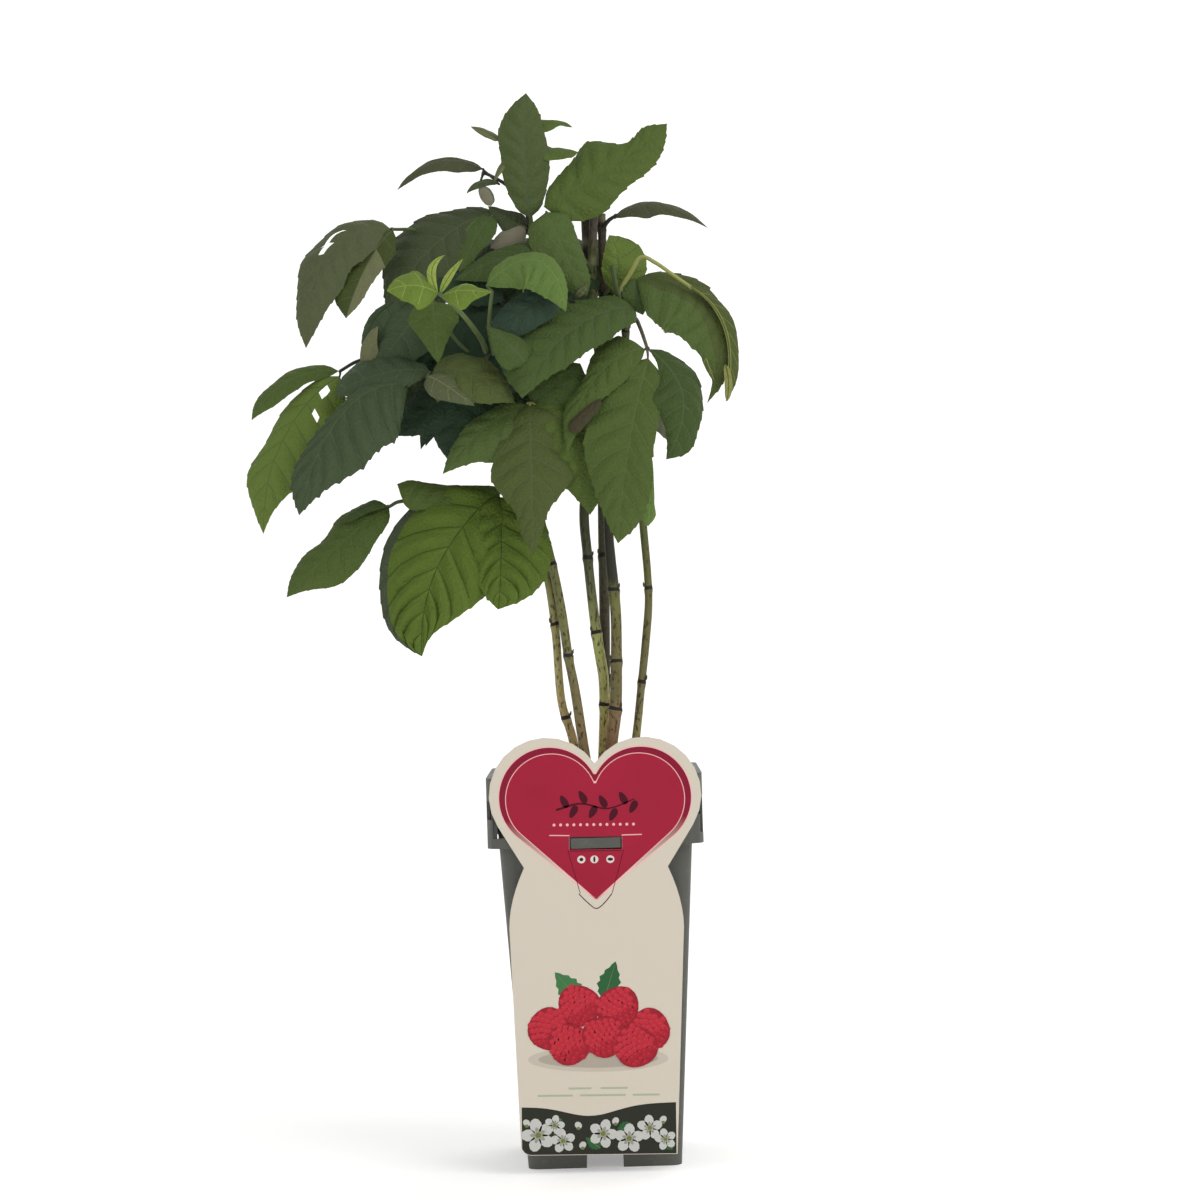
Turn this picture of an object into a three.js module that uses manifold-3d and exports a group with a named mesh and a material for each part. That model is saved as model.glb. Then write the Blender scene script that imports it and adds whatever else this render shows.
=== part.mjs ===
// A raspberry plant in a square nursery pot: six canes, their compound leaves, the compost
// and a hanging card. Millimetres, +Z up, +X to the right, the card faces -Y.
// The pot and card are laid out about the pot's axis. The canes and leaves are laid out in a
// frame of their own, which leans a little to the right and whose "across" and "up" are the
// places as they look from VIEW_DISTANCE in front at the height of EYE_HEIGHT.

import * as THREE from 'three';
import { mergeVertices } from 'three/addons/utils/BufferGeometryUtils.js';
import Module from 'manifold-3d';

const wasm = await Module();
wasm.setup();

// ---- driving dimensions ---------------------------------------------------------------

const GAP = 0.35;
const DEGREE = Math.PI / 180;

const POT = {
  height: 192,
  rimHalf: 52.5,
  skirtLow: 158,
  skirtWall: 1.3,
  flange: 1.6,
  wallHalfTop: 49,
  wallHalfFoot: 38,
  wall: 1.3,
  footHeight: 7,
  floor: 1.6,
  footGapHalf: 9,
  cornerShare: 0.14,
  drainRadius: 4,
  drainAt: 24,
};
const SKIRT_WINDOW = { from: 40, to: 49.5, low: 163, middle: 172, high: 181, wrapTo: 46 };
const STRAP = { width: 24, low: 157.2, height: 5, proud: 1.5 };
const COMPOST_TOP = 176;

const CARD = {
  thickness: 0.8,
  top: 210.8,
  length: 201.8,
  lobeRadius: 28,
  lobeOffset: 23.4,
  neckHalf: 34.8,
  neckDown: 62.8,
  shoulderHalf: 42.2,
  shoulderDown: 92,
  bottomHalf: 37.8,
  cornerRadius: 5,
  windowWidth: 25.4,
  windowHeight: 6.2,
  turn: 1 * DEGREE,
};

const VIEW_DISTANCE = 1600;
const EYE_HEIGHT = 280;
const LEAN = 1.7 * DEGREE;
const CROWN_PLACE = [-2.7, 0, -2.9];
const BLADE = 2.4;
const SMALL_BLADE = 16;
const STALK_RADIUS = 1.2;

// ---- materials ------------------------------------------------------------------------

const finish = (color, roughness) => new THREE.MeshStandardMaterial({ color, roughness, metalness: 0 });
const PLASTIC = finish(0x6b6c66, 0.55);
const COMPOST = finish(0x2e241c, 0.95);
const CARD_STOCK = finish(0xd5ccbc, 0.5);
const CANE_BARK = finish(0x77754d, 0.65);
const GREEN_LEAF = finish(0x50612f, 0.6);
const DARK_LEAF = finish(0x39482b, 0.65);
const YOUNG_LEAF = finish(0x7f9148, 0.55);

// ---- solids ---------------------------------------------------------------------------

function solid(geometry) {
  const bare = geometry.clone();
  bare.deleteAttribute('normal');
  bare.deleteAttribute('uv');
  const merged = mergeVertices(bare, 1e-4);
  return new wasm.Manifold(new wasm.Mesh({
    numProp: 3,
    vertProperties: Float32Array.from(merged.attributes.position.array),
    triVerts: Uint32Array.from(merged.index.array),
  }));
}

function geometryOf(body) {
  const mesh = body.getMesh();
  const geometry = new THREE.BufferGeometry();
  geometry.setAttribute('position', new THREE.BufferAttribute(mesh.vertProperties, 3));
  geometry.setIndex(new THREE.BufferAttribute(mesh.triVerts, 1));
  geometry.computeVertexNormals();
  return geometry;
}

function named(name, geometry, material) {
  const mesh = new THREE.Mesh(geometry, material);
  mesh.name = name;
  return mesh;
}

// Moves every corner of a geometry by a rule that takes and gives a Vector3.
function reshape(geometry, rule) {
  const places = geometry.attributes.position;
  const corner = new THREE.Vector3();
  for (let i = 0; i < places.count; i += 1) {
    corner.fromBufferAttribute(places, i);
    const moved = rule(corner);
    places.setXYZ(i, moved.x, moved.y, moved.z);
  }
  return geometry;
}

const join = (bodies) => bodies.reduce((whole, body) => whole.add(body));

function boxGeometry(x0, x1, y0, y1, z0, z1) {
  const geometry = new THREE.BoxGeometry(x1 - x0, y1 - y0, z1 - z0);
  return geometry.translate((x0 + x1) / 2, (y0 + y1) / 2, (z0 + z1) / 2);
}

const box = (...sides) => solid(boxGeometry(...sides));

// A block with a rounded square plan, whose half width runs evenly from its foot to its top.
function squareBlock(low, high, halfLow, halfHigh) {
  const corner = POT.cornerShare;
  const flat = 1 - corner;
  const plan = new THREE.Shape();
  plan.moveTo(flat, -1);
  for (let side = 0; side < 4; side += 1) {
    const turn = side * 90 * DEGREE;
    const x = flat * (Math.cos(turn) + Math.sin(turn));
    const y = flat * (Math.sin(turn) - Math.cos(turn));
    plan.absarc(x, y, corner, turn - 90 * DEGREE, turn, false);
  }
  plan.closePath();
  const geometry = new THREE.ExtrudeGeometry(plan, { depth: 1, bevelEnabled: false, curveSegments: 2 });
  return solid(reshape(geometry, (p) => {
    const half = THREE.MathUtils.lerp(halfLow, halfHigh, p.z);
    return new THREE.Vector3(p.x * half, p.y * half, THREE.MathUtils.lerp(low, high, p.z));
  }));
}

// ---- pot and compost ------------------------------------------------------------------

function wallHalf(height) {
  const share = (height - POT.footHeight) / (POT.height - POT.footHeight);
  return THREE.MathUtils.lerp(POT.wallHalfFoot, POT.wallHalfTop, share);
}

// One window of the skirt at the left end of the front face: it turns the corner higher up.
function skirtWindow() {
  const w = SKIRT_WINDOW;
  const out = POT.rimHalf + 1;
  const inner = POT.rimHalf - POT.skirtWall - 1;
  const lower = box(-w.to, -w.from, -out, -inner, w.low, w.middle + 1);
  const upper = box(-out, -w.from, -out, -inner, w.middle, w.high);
  const turned = box(-out, -inner, -out, -w.wrapTo, w.middle, w.high);
  return join([lower, upper, turned]);
}

function potBody() {
  const floorTop = POT.footHeight + POT.floor;
  const outside = squareBlock(POT.footHeight, POT.height, POT.wallHalfFoot, POT.wallHalfTop);
  const inside = squareBlock(floorTop, POT.height + 1, wallHalf(floorTop) - POT.wall,
    wallHalf(POT.height + 1) - POT.wall);
  const skirt = squareBlock(POT.skirtLow, POT.height, POT.rimHalf, POT.rimHalf);
  const skirtHalf = POT.rimHalf - POT.skirtWall;
  const skirtHollow = squareBlock(POT.skirtLow - 1, POT.height - POT.flange, skirtHalf, skirtHalf);
  let rim = skirt.subtract(skirtHollow);
  for (let side = 0; side < 4; side += 1) {
    rim = rim.subtract(skirtWindow().rotate([0, 0, 90 * side]));
  }
  const strapBack = -(POT.rimHalf - POT.skirtWall);
  const strap = box(-STRAP.width / 2, STRAP.width / 2, -POT.rimHalf - STRAP.proud, strapBack,
    STRAP.low, STRAP.low + STRAP.height);
  const feet = squareBlock(0, POT.footHeight + 0.5, POT.wallHalfFoot - 0.4, POT.wallHalfFoot);
  const wide = POT.rimHalf;
  const gap = POT.footGapHalf;
  const alongX = box(-wide, wide, -gap, gap, -1, POT.footHeight);
  const alongY = box(-gap, gap, -wide, wide, -1, POT.footHeight);
  let pot = join([outside, rim, strap, feet.subtract(alongX).subtract(alongY)]).subtract(inside);
  for (const [x, y] of [[0, -1], [1, 0], [0, 1], [-1, 0], [0, 0]]) {
    const hole = new THREE.CylinderGeometry(POT.drainRadius, POT.drainRadius, 3 * POT.footHeight, 8);
    hole.rotateX(90 * DEGREE);
    hole.translate(x * POT.drainAt, y * POT.drainAt, 0);
    pot = pot.subtract(solid(hole));
  }
  return pot;
}

function compostBlock() {
  const low = POT.footHeight + POT.floor + GAP;
  const inset = POT.wall + GAP;
  return squareBlock(low, COMPOST_TOP, wallHalf(low) - inset, wallHalf(COMPOST_TOP) - inset);
}

// ---- card -----------------------------------------------------------------------------

// The outline: a heart's two lobes, straight sides down to a neck, then a bottle's shoulders.
// Across from the middle and up from the top of the lobes.
function cardOutline() {
  const r = CARD.lobeRadius;
  const side = CARD.lobeOffset;
  const cleft = Math.acos(side / r);
  const toNeck = Math.atan2(CARD.neckDown - r, CARD.neckHalf - side);
  const reach = Math.hypot(CARD.neckDown - r, CARD.neckHalf - side);
  const leave = toNeck - Math.acos(r / reach);
  const bottom = -CARD.length;
  const corner = CARD.cornerRadius;
  const half = CARD.bottomHalf;
  const outline = new THREE.Shape();
  outline.moveTo(0, -r + Math.sqrt(r * r - side * side));
  outline.absarc(-side, -r, r, Math.PI / 2 - (Math.PI / 2 - cleft), Math.PI + leave, false);
  outline.lineTo(-CARD.neckHalf, -CARD.neckDown);
  outline.quadraticCurveTo(-CARD.shoulderHalf, -CARD.neckDown - 16, -CARD.shoulderHalf, -CARD.shoulderDown);
  outline.lineTo(-half, bottom + corner);
  outline.absarc(-half + corner, bottom + corner, corner, Math.PI, 1.5 * Math.PI, false);
  outline.lineTo(half, bottom);
  outline.lineTo(CARD.shoulderHalf, -CARD.shoulderDown);
  outline.quadraticCurveTo(CARD.shoulderHalf, -CARD.neckDown - 16, CARD.neckHalf, -CARD.neckDown);
  outline.absarc(side, -r, r, -leave, Math.PI - cleft, false);
  outline.closePath();
  return outline;
}

function hangingCard() {
  const outline = cardOutline();
  const geometry = new THREE.ExtrudeGeometry(outline, {
    depth: CARD.thickness, bevelEnabled: false, curveSegments: 6,
  });
  const strapMiddle = STRAP.low + STRAP.height / 2;
  const windowUp = strapMiddle - CARD.top;
  const w = CARD.windowWidth / 2;
  const h = CARD.windowHeight / 2;
  const window = box(-w, w, windowUp - h, windowUp + h, -1, CARD.thickness + 1);
  const card = geometryOf(solid(geometry).subtract(window));
  card.translate(0, -windowUp, 0);
  const mesh = named('picture_card', card, CARD_STOCK);
  mesh.rotation.set(90 * DEGREE, 0, -CARD.turn, 'XYZ');
  mesh.position.set(0, -POT.rimHalf - GAP, strapMiddle);
  return mesh;
}

// ---- canes and leaves -----------------------------------------------------------------

// The point at a depth behind (+) or before (-) the canes that is seen at [across, up].
function seen([across, depth, up]) {
  const spread = 1 + depth / VIEW_DISTANCE;
  return new THREE.Vector3(across * spread, depth, EYE_HEIGHT + (up - EYE_HEIGHT) * spread);
}

// A tapering round limb along a smooth curve: a cylinder whose rings follow the curve.
function limb(points, radiusFoot, radiusTip, grow = 0, sides = 6) {
  const curve = new THREE.CatmullRomCurve3(points.map(seen));
  const rings = Math.max(2, Math.round(curve.getLength() / 26));
  const cylinder = new THREE.CylinderGeometry(1, 1, 1, sides, rings);
  const heading = curve.getPoint(1).sub(curve.getPoint(0)).normalize();
  const level = Math.abs(heading.y) > 0.75 ? new THREE.Vector3(0, 0, 1) : new THREE.Vector3(0, 1, 0);
  return solid(reshape(cylinder, (p) => {
    const along = p.y + 0.5;
    const radius = THREE.MathUtils.lerp(radiusFoot, radiusTip, along) + grow;
    const tangent = curve.getTangent(along);
    const aside = tangent.clone().cross(level).normalize();
    const over = aside.clone().cross(tangent);
    return curve.getPoint(along)
      .addScaledVector(aside, p.x * radius)
      .addScaledVector(over, p.z * radius)
      .addScaledVector(tangent, Math.sign(p.y) * (along % 1 === 0 ? grow : 0));
  }));
}

// The way a blade's upper side faces: degrees right of straight ahead, degrees up.
function facing([right, up]) {
  const ahead = Math.cos(up * DEGREE);
  return new THREE.Vector3(Math.sin(right * DEGREE) * ahead, -Math.cos(right * DEGREE) * ahead,
    Math.sin(up * DEGREE));
}

// A leaflet as a thin closed pad: a box whose length follows a bowed midrib from foot to tip,
// whose width swells and narrows as an egg-shaped leaf does, and whose sides hang a little.
// A plain pad has fewer facets and no fold along its midrib.
function leafPad({ foot, tip, width, face, bow, plain = width < SMALL_BLADE }, grow = 0) {
  const start = seen(foot);
  const end = seen(tip);
  const normal = facing(face);
  const middle = start.clone().add(end).multiplyScalar(0.5).addScaledVector(normal, 2 * bow);
  const midrib = new THREE.QuadraticBezierCurve3(start, middle, end);
  const slab = new THREE.BoxGeometry(1, 2, BLADE + 2 * grow, plain ? 3 : 4, plain ? 1 : 2, 1);
  return solid(reshape(slab, (p) => {
    const along = p.x + 0.5;
    const tangent = midrib.getTangent(along);
    const aside = normal.clone().cross(tangent).normalize();
    const over = tangent.clone().cross(aside);
    const swell = Math.sin(Math.PI * Math.min(0.97, Math.max(0.04, along)) ** 0.8) ** 0.85;
    const half = width * 0.5 * swell + grow;
    return midrib.getPoint(along)
      .addScaledVector(aside, p.y * half)
      .addScaledVector(over, p.z - 0.22 * Math.abs(p.y) * half)
      .addScaledVector(tangent, (along === 0 ? -grow : 0) + (along === 1 ? grow : 0));
  }));
}

// An uneven lump of close foliage: a ball pushed in and out by slow waves.
function lump({ at, size, waves }, grow = 0) {
  const ball = new THREE.IcosahedronGeometry(1, 2);
  const centre = seen(at);
  return solid(reshape(ball, (p) => {
    const swell = 1 + 0.1 * Math.sin(waves[0] * p.x + 2 * p.z) + 0.1 * Math.cos(waves[1] * p.z - 3 * p.y);
    return new THREE.Vector3(
      centre.x + p.x * (size[0] * swell + grow),
      centre.y + p.y * (size[1] * swell + grow),
      centre.z + p.z * (size[2] * swell + grow),
    );
  }));
}

// The canes: places [across, depth, up] from the compost to the tip, then radii.
const CANES = {
  cane_1: {
    points: [[-7, 4, 176], [-13.5, 2, 210], [-19.5, 1, 228], [-22.5, 0, 262], [-26, -1, 291], [-29, 0, 301],
      [-32, 0, 315], [-37, 1, 345], [-46, 0, 384], [-56, -10, 401]],
    radii: [1.9, 1.3],
  },
  cane_2: {
    points: [[-3, -9, 176], [-9, -8, 210], [-12.5, -7, 234], [-15.7, -6, 252], [-19, -5, 272], [-22.4, -5, 292],
      [-25.6, -5, 304], [-30.5, -4, 326], [-32, -2, 362], [-32, 1, 400], [-33, 3, 430], [-34, 2, 468]],
    radii: [2.3, 1.5],
  },
  cane_3: {
    points: [[0, 6, 176], [1.2, 4, 201], [2, 3, 236], [-2, 2, 262], [-4.3, 1, 284], [-6.2, 0, 302],
      [-8, 0, 326], [-7.5, 2, 380], [-5, 4, 430], [-3.2, 4, 474]],
    radii: [2.7, 1.8],
  },
  cane_4: {
    points: [[1, 14, 176], [2.5, 11, 230], [2.3, 9, 276], [1.5, 8, 320], [-1, 9, 380], [-5, 10, 430],
      [-7.4, 10, 473]],
    radii: [2.4, 1.8],
  },
  cane_5: {
    points: [[3.5, -5, 176], [5.5, -5, 208], [7.8, -5, 228], [8, -5, 250], [7.7, -4, 273], [6.5, -4, 288],
      [4.6, -2, 318], [3.5, 2, 370], [2, 6, 425], [0.8, 9, 473]],
    radii: [3.3, 1.9],
  },
  cane_6: {
    points: [[13, 3, 176], [18.5, 3, 211], [21.2, 1, 239], [23.2, 0, 258], [24.5, 0, 278], [24, 0, 294],
      [21.7, 0, 317], [18.5, 2, 360], [16.5, 2, 400], [18, 0, 424]],
    radii: [1.9, 1.4],
  },
};

// The foliage: each entry is one leaf or spray with its stalk from the cane and its leaflets.
const SPRAYS = {
  leaf_top: {
    cane: 'cane_2',
    up: 466,
    stalk: [[-35, -2, 477]],
    pads: [
      { foot: [-35, -2, 471], tip: [-37, -10, 533.5], width: 27, face: [0, 15], bow: 4 },
      { foot: [-37, -9, 506], tip: [-13.5, 2, 518], width: 7, face: [0, 64], bow: 2 },
      { foot: [-37, -9, 492], tip: [-12, 0, 503.5], width: 7, face: [0, 64], bow: 3 },
      { foot: [-38, -9, 502], tip: [-64.5, 0, 516.5], width: 7, face: [-10, 60], bow: -1 },
    ],
  },
  leaf_top_right: {
    cane: 'cane_2',
    up: 458,
    stalk: [[-27, 2, 470], [-20, -3, 475]],
    pads: [{ foot: [-22, -3, 474], tip: [33.5, 4, 516.5], width: 35, face: [8, 26], bow: 4 }],
  },
  leaf_top_left: {
    cane: 'cane_2',
    up: 452,
    stalk: [[-46, 8, 478], [-58, 6, 494]],
    pads: [
      { foot: [-56, 6, 493], tip: [-101, -2, 486], width: 24, face: [-20, 66], bow: 11 },
      { foot: [-57, 6, 494], tip: [-53, 0, 473], width: 9, face: [-30, 20], bow: 2 },
    ],
  },
  leaf_right_thin: {
    cane: 'cane_5',
    up: 466,
    stalk: [[5, 2, 471], [9, 0, 472.5]],
    pads: [{ foot: [8, 0, 472], tip: [54, -10, 466.5], width: 20, face: [15, 70], bow: 8.5 }],
  },
  leaf_left_upper: {
    cane: 'cane_2',
    up: 424,
    stalk: [[-68, 14, 452], [-90, 8, 464], [-105, 0, 466]],
    pads: [
      { foot: [-103, 0, 466], tip: [-147, -16, 406.5], width: 42, face: [-46, 38], bow: 25 },
      { foot: [-104, -2, 465], tip: [-127, -16, 421], width: 28, face: [-24, 26], bow: 7 },
    ],
  },
  leaf_upper_left: {
    cane: 'cane_2',
    up: 438,
    stalk: [[-40, 10, 462], [-50, 6, 472]],
    pads: [
      { foot: [-48, 6, 473], tip: [-109, -4, 430], width: 42, face: [-20, 40], bow: 14 },
      { foot: [-49, 4, 472], tip: [-71, -12, 444], width: 15, face: [-5, 30], bow: 3 },
      { foot: [-48, 5, 471], tip: [-37, 0, 452], width: 14, face: [20, 20], bow: 2 },
    ],
  },
  leaf_centre_upper: {
    cane: 'cane_3',
    up: 444,
    stalk: [[-12, -4, 449], [-16, -8, 452]],
    pads: [
      { foot: [-15, -8, 451], tip: [-34, -16, 474], width: 20, face: [-6, 24], bow: 3 },
      { foot: [-15, -8, 452], tip: [-72, -18, 440], width: 24, face: [-10, 36], bow: 5 },
    ],
  },
  leaf_young: {
    cane: 'cane_1',
    up: 400.5,
    stalk: [[-60, -30, 411], [-70, -48, 424], [-81, -58, 434]],
    pads: [
      { foot: [-80, -58, 434], tip: [-106.5, -66, 434], width: 18, face: [-10, 35], bow: 3 },
      { foot: [-81, -58, 434], tip: [-54, -66, 434], width: 13, face: [10, 40], bow: 3 },
      { foot: [-81, -58, 433], tip: [-73, -58, 452], width: 9, face: [0, 10], bow: 1 },
    ],
  },
  leaf_left_middle: {
    cane: 'cane_1',
    up: 394,
    stalk: [[-72, -22, 410], [-82, -34, 428]],
    pads: [{ foot: [-83, -34, 430], tip: [-81, -42, 399], width: 24, face: [0, 25], bow: 4 }],
  },
  leaf_centre_light: {
    cane: 'cane_1',
    up: 390,
    stalk: [[-54, -26, 418], [-53, -36, 432], [-54, -39, 439]],
    pads: [{ foot: [-56, -38, 439], tip: [-17, -50, 424], width: 24, face: [4, 42], bow: 8 }],
  },
  leaf_left_inner: {
    cane: 'cane_2',
    up: 410,
    stalk: [[-50, 4, 420], [-84, -8, 428]],
    pads: [
      { foot: [-82, -8, 428], tip: [-116, -20, 396], width: 32, face: [-16, 30], bow: 6 },
      { foot: [-84, -8, 428], tip: [-121, -12, 390], width: 16, face: [-60, 34], bow: 14 },
    ],
  },
  leaf_left_large: {
    cane: 'cane_1',
    up: 392,
    stalk: [[-70, -28, 397], [-85, -34, 394]],
    pads: [
      { foot: [-83, -34, 394], tip: [-43, -50, 378], width: 26, face: [4, 36], bow: 5 },
      { foot: [-86, -34, 393], tip: [-150.5, -50, 323.5], width: 43, face: [-18, 40], bow: 13 },
      { foot: [-84, -33, 395], tip: [-130, -30, 380], width: 17, face: [-10, 55], bow: 7 },
    ],
  },
  leaf_left_shade: {
    cane: 'cane_1',
    up: 386,
    stalk: [[-55, -10, 391], [-62, -14, 388]],
    pads: [{ foot: [-60, -14, 389], tip: [-76, -24, 350], width: 36, face: [-10, 22], bow: 3 }],
  },
  leaf_far_left: {
    cane: 'cane_1',
    up: 374,
    stalk: [[-80, 6, 392], [-112, -2, 400], [-130, -10, 394]],
    pads: [
      { foot: [-128, -10, 395], tip: [-174, -20, 370.5], width: 19, face: [-20, 50], bow: 10 },
      { foot: [-130, -12, 393], tip: [-169, -32, 313.5], width: 41, face: [-50, 8], bow: 16 },
    ],
  },
  leaf_low_centre: {
    cane: 'cane_2',
    up: 352,
    stalk: [[-31, -20, 372], [-36, -32, 379]],
    pads: [
      { foot: [-35, -32, 378], tip: [-78.5, -34, 343], width: 25, face: [-8, 38], bow: 6 },
      { foot: [-34, -34, 379], tip: [-33.5, -58, 302.5], width: 40, face: [0, 26], bow: 9 },
      { foot: [-33, -32, 378], tip: [-5, -42, 322.5], width: 31, face: [16, 32], bow: 8 },
    ],
  },
  leaf_low_left: {
    cane: 'cane_2',
    up: 314,
    stalk: [[-38, -14, 330], [-51, -19.5, 335]],
    pads: [
      { foot: [-50, -20, 335], tip: [-89, -46, 253], width: 58, face: [-34, 18], bow: 20 },
      { foot: [-49, -17, 334], tip: [-105, -38, 266], width: 50, face: [-34, 20], bow: 15 },
      { foot: [-50, -17, 334], tip: [-101, -22, 336], width: 14, face: [-6, 40], bow: 0 },
      { foot: [-49, -20, 337], tip: [-49, -44, 276], width: 42, face: [12, 28], bow: 8 },
    ],
  },
  leaf_lowest_left: {
    cane: 'cane_1',
    up: 304,
    stalk: [[-60, 2, 326], [-96, -10, 329.5], [-107, -14, 325]],
    pads: [{ foot: [-106, -14, 326], tip: [-156.5, -34, 282], width: 28, face: [-20, 34], bow: 4 }],
  },
  leaf_right_drooping: {
    cane: 'cane_5',
    up: 424,
    stalk: [[9, -4, 432], [20, -10, 451]],
    pads: [
      { foot: [20, -10, 448], tip: [56, -32, 379], width: 30, face: [26, 34], bow: 18 },
      { foot: [20, -9, 451], tip: [65, -14, 380], width: 28, face: [48, 30], bow: 19 },
    ],
  },
  leaf_right_inner: {
    cane: 'cane_5',
    up: 432,
    stalk: [[6, -1, 440]],
    pads: [{ foot: [5, 0, 437], tip: [8, -4, 463], width: 22, face: [10, 30], bow: 2 }],
  },
  leaf_right_low: {
    cane: 'cane_6',
    up: 415,
    stalk: [[23.5, -18, 408], [24, -26, 402]],
    pads: [
      { foot: [24, -26, 402], tip: [9.5, -62, 308.5], width: 42, face: [16, 26], bow: 13 },
      { foot: [23, -27, 403], tip: [-16.5, -50, 351.5], width: 30, face: [-8, 34], bow: 6 },
      { foot: [24, -24, 403], tip: [34, -36, 350.5], width: 31, face: [42, 20], bow: 18 },
    ],
  },
  leaf_centre_right: {
    cane: 'cane_6',
    up: 423,
    stalk: [[18, -12, 428]],
    pads: [
      { foot: [18, -12, 427], tip: [-40, -58, 381], width: 44, face: [-4, 42], bow: 11 },
    ],
  },
};

// Leaves on the far side, which hang from the canes by the same rule: a stalk that rises and
// runs out on a bearing (degrees clockwise from straight ahead, seen from above), a leaflet at
// its end and two at its sides.
const BACK_LEAVES = [
  { cane: 'cane_4', up: 454, bearing: -146, reach: 42, rise: 4, length: 52, hang: 30 },
  { cane: 'cane_3', up: 452, bearing: 172, reach: 44, rise: 6, length: 52, hang: 34 },
  { cane: 'cane_5', up: 440, bearing: 142, reach: 36, rise: 4, length: 50, hang: 36 },
  { cane: 'cane_4', up: 408, bearing: 158, reach: 50, rise: 0, length: 54, hang: 38 },
  { cane: 'cane_3', up: 398, bearing: -160, reach: 52, rise: 2, length: 56, hang: 38 },
  { cane: 'cane_2', up: 390, bearing: -124, reach: 48, rise: 2, length: 54, hang: 36 },
  { cane: 'cane_4', up: 370, bearing: -150, reach: 46, rise: -2, length: 48, hang: 24 },
];

function bearingWay(bearing) {
  return new THREE.Vector3(Math.sin(bearing * DEGREE), -Math.cos(bearing * DEGREE), 0);
}

function caneAt(name, up) {
  const points = CANES[name].points;
  const next = points.findIndex((point) => point[2] > up);
  const low = points[next - 1];
  const high = points[next];
  const share = (up - low[2]) / (high[2] - low[2]);
  return low.map((value, axis) => THREE.MathUtils.lerp(value, high[axis], share));
}

function backSpray({ cane, up, bearing, reach, rise, length, hang }) {
  const [across, depth] = caneAt(cane, up);
  const way = bearingWay(bearing);
  const along = (distance, height, turn = 0) => {
    const heading = bearingWay(bearing + turn);
    return [across + way.x * reach + heading.x * distance, depth + way.y * reach + heading.y * distance,
      up + rise + height];
  };
  const stalk = [
    [across + way.x * reach * 0.5, depth + way.y * reach * 0.5, up + rise + 4],
    along(0, 0),
  ];
  const pads = [[0, 1, 1], [72, 0.84, 0.7], [-72, 0.84, 0.7]].map(([turn, size, drop]) => ({
    foot: along(-2, 0, turn),
    tip: along(length * size, -hang * drop, turn),
    width: length * size * 0.6,
    plain: true,
    face: [bearing + turn, 58],
    bow: 6,
  }));
  return { cane, up, stalk, pads };
}

const LUMPS = {
  foliage_heart_left: { at: [-70, 14, 412], size: [27, 13, 22], waves: [3, 4] },
  foliage_heart_low: { at: [-60, 16, 376], size: [22, 12, 13], waves: [4, 3] },
  foliage_heart_middle: { at: [-26, 18, 424], size: [20, 12, 22], waves: [3, 5] },
};

const crown = new THREE.Group();
crown.position.set(...CROWN_PLACE);
crown.rotation.y = LEAN;

function caneSolid({ points, radii }, grow = 0) {
  return limb(points, radii[0], radii[1], grow);
}

// A stalk starts on its cane's axis: cutting it clear of the cane seats it on the cane.
function stalkSolid({ cane, up, stalk }, grow = 0) {
  return limb([caneAt(cane, up), ...stalk], STALK_RADIUS, STALK_RADIUS * 0.8, grow, 4);
}

// Of the pieces that cutting leaves, the one with most in it.
function largest(body) {
  return body.decompose().reduce((best, piece) => (piece.volume() > best.volume() ? piece : best));
}

// Each cane is trimmed level where it leaves the compost.
function addCanes() {
  crown.updateMatrix();
  const half = POT.rimHalf;
  const ground = boxGeometry(-half, half, -half, half, COMPOST_TOP - half, COMPOST_TOP + GAP);
  const buried = solid(ground.applyMatrix4(crown.matrix.clone().invert()));
  for (const [name, cane] of Object.entries(CANES)) {
    crown.add(named(name, geometryOf(caneSolid(cane).subtract(buried)), CANE_BARK));
  }
}

// Every blade is cut clear of the canes, of the other sprays' stalks and of the blades before
// it; the lumps of close foliage come last and are cut clear of everything.
function addFoliage() {
  const sprays = { ...SPRAYS };
  BACK_LEAVES.forEach((leaf, index) => {
    sprays[`leaf_back_${index + 1}`] = backSpray(leaf);
  });
  const names = Object.keys(sprays);
  const canes = join(Object.values(CANES).map((cane) => caneSolid(cane, GAP)));
  const stalks = new Map(names.map((name) => [name, stalkSolid(sprays[name], GAP)]));
  let before = null;
  for (const name of names) {
    const blades = join(sprays[name].pads.map((pad) => leafPad(pad)));
    const others = join(names.filter((other) => other !== name).map((other) => stalks.get(other)));
    let cut = blades.subtract(others);
    if (before) {
      cut = cut.subtract(before);
    }
    const spray = largest(cut.add(stalkSolid(sprays[name])).subtract(canes));
    const material = name === 'leaf_young' ? YOUNG_LEAF : GREEN_LEAF;
    crown.add(named(name, geometryOf(spray), material));
    const grown = join(sprays[name].pads.map((pad) => leafPad(pad, GAP)));
    before = before ? before.add(grown) : grown;
  }
  let taken = join([canes, before, ...stalks.values()]);
  for (const [name, heart] of Object.entries(LUMPS)) {
    crown.add(named(name, geometryOf(largest(lump(heart).subtract(taken))), DARK_LEAF));
    taken = taken.add(lump(heart, GAP));
  }
}

// ---- the whole ------------------------------------------------------------------------

const plant = new THREE.Group();
plant.add(named('pot', geometryOf(potBody()), PLASTIC));
plant.add(named('compost', geometryOf(compostBlock()), COMPOST));
plant.add(hangingCard());
addCanes();
addFoliage();
plant.add(crown);

// The origin is on the ground, under the middle of the whole plant's box.
plant.updateMatrixWorld(true);
const extent = new THREE.Box3().setFromObject(plant, true);
const middle = extent.getCenter(new THREE.Vector3());
plant.position.set(-middle.x, -middle.y, -extent.min.z);

export default plant;
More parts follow.
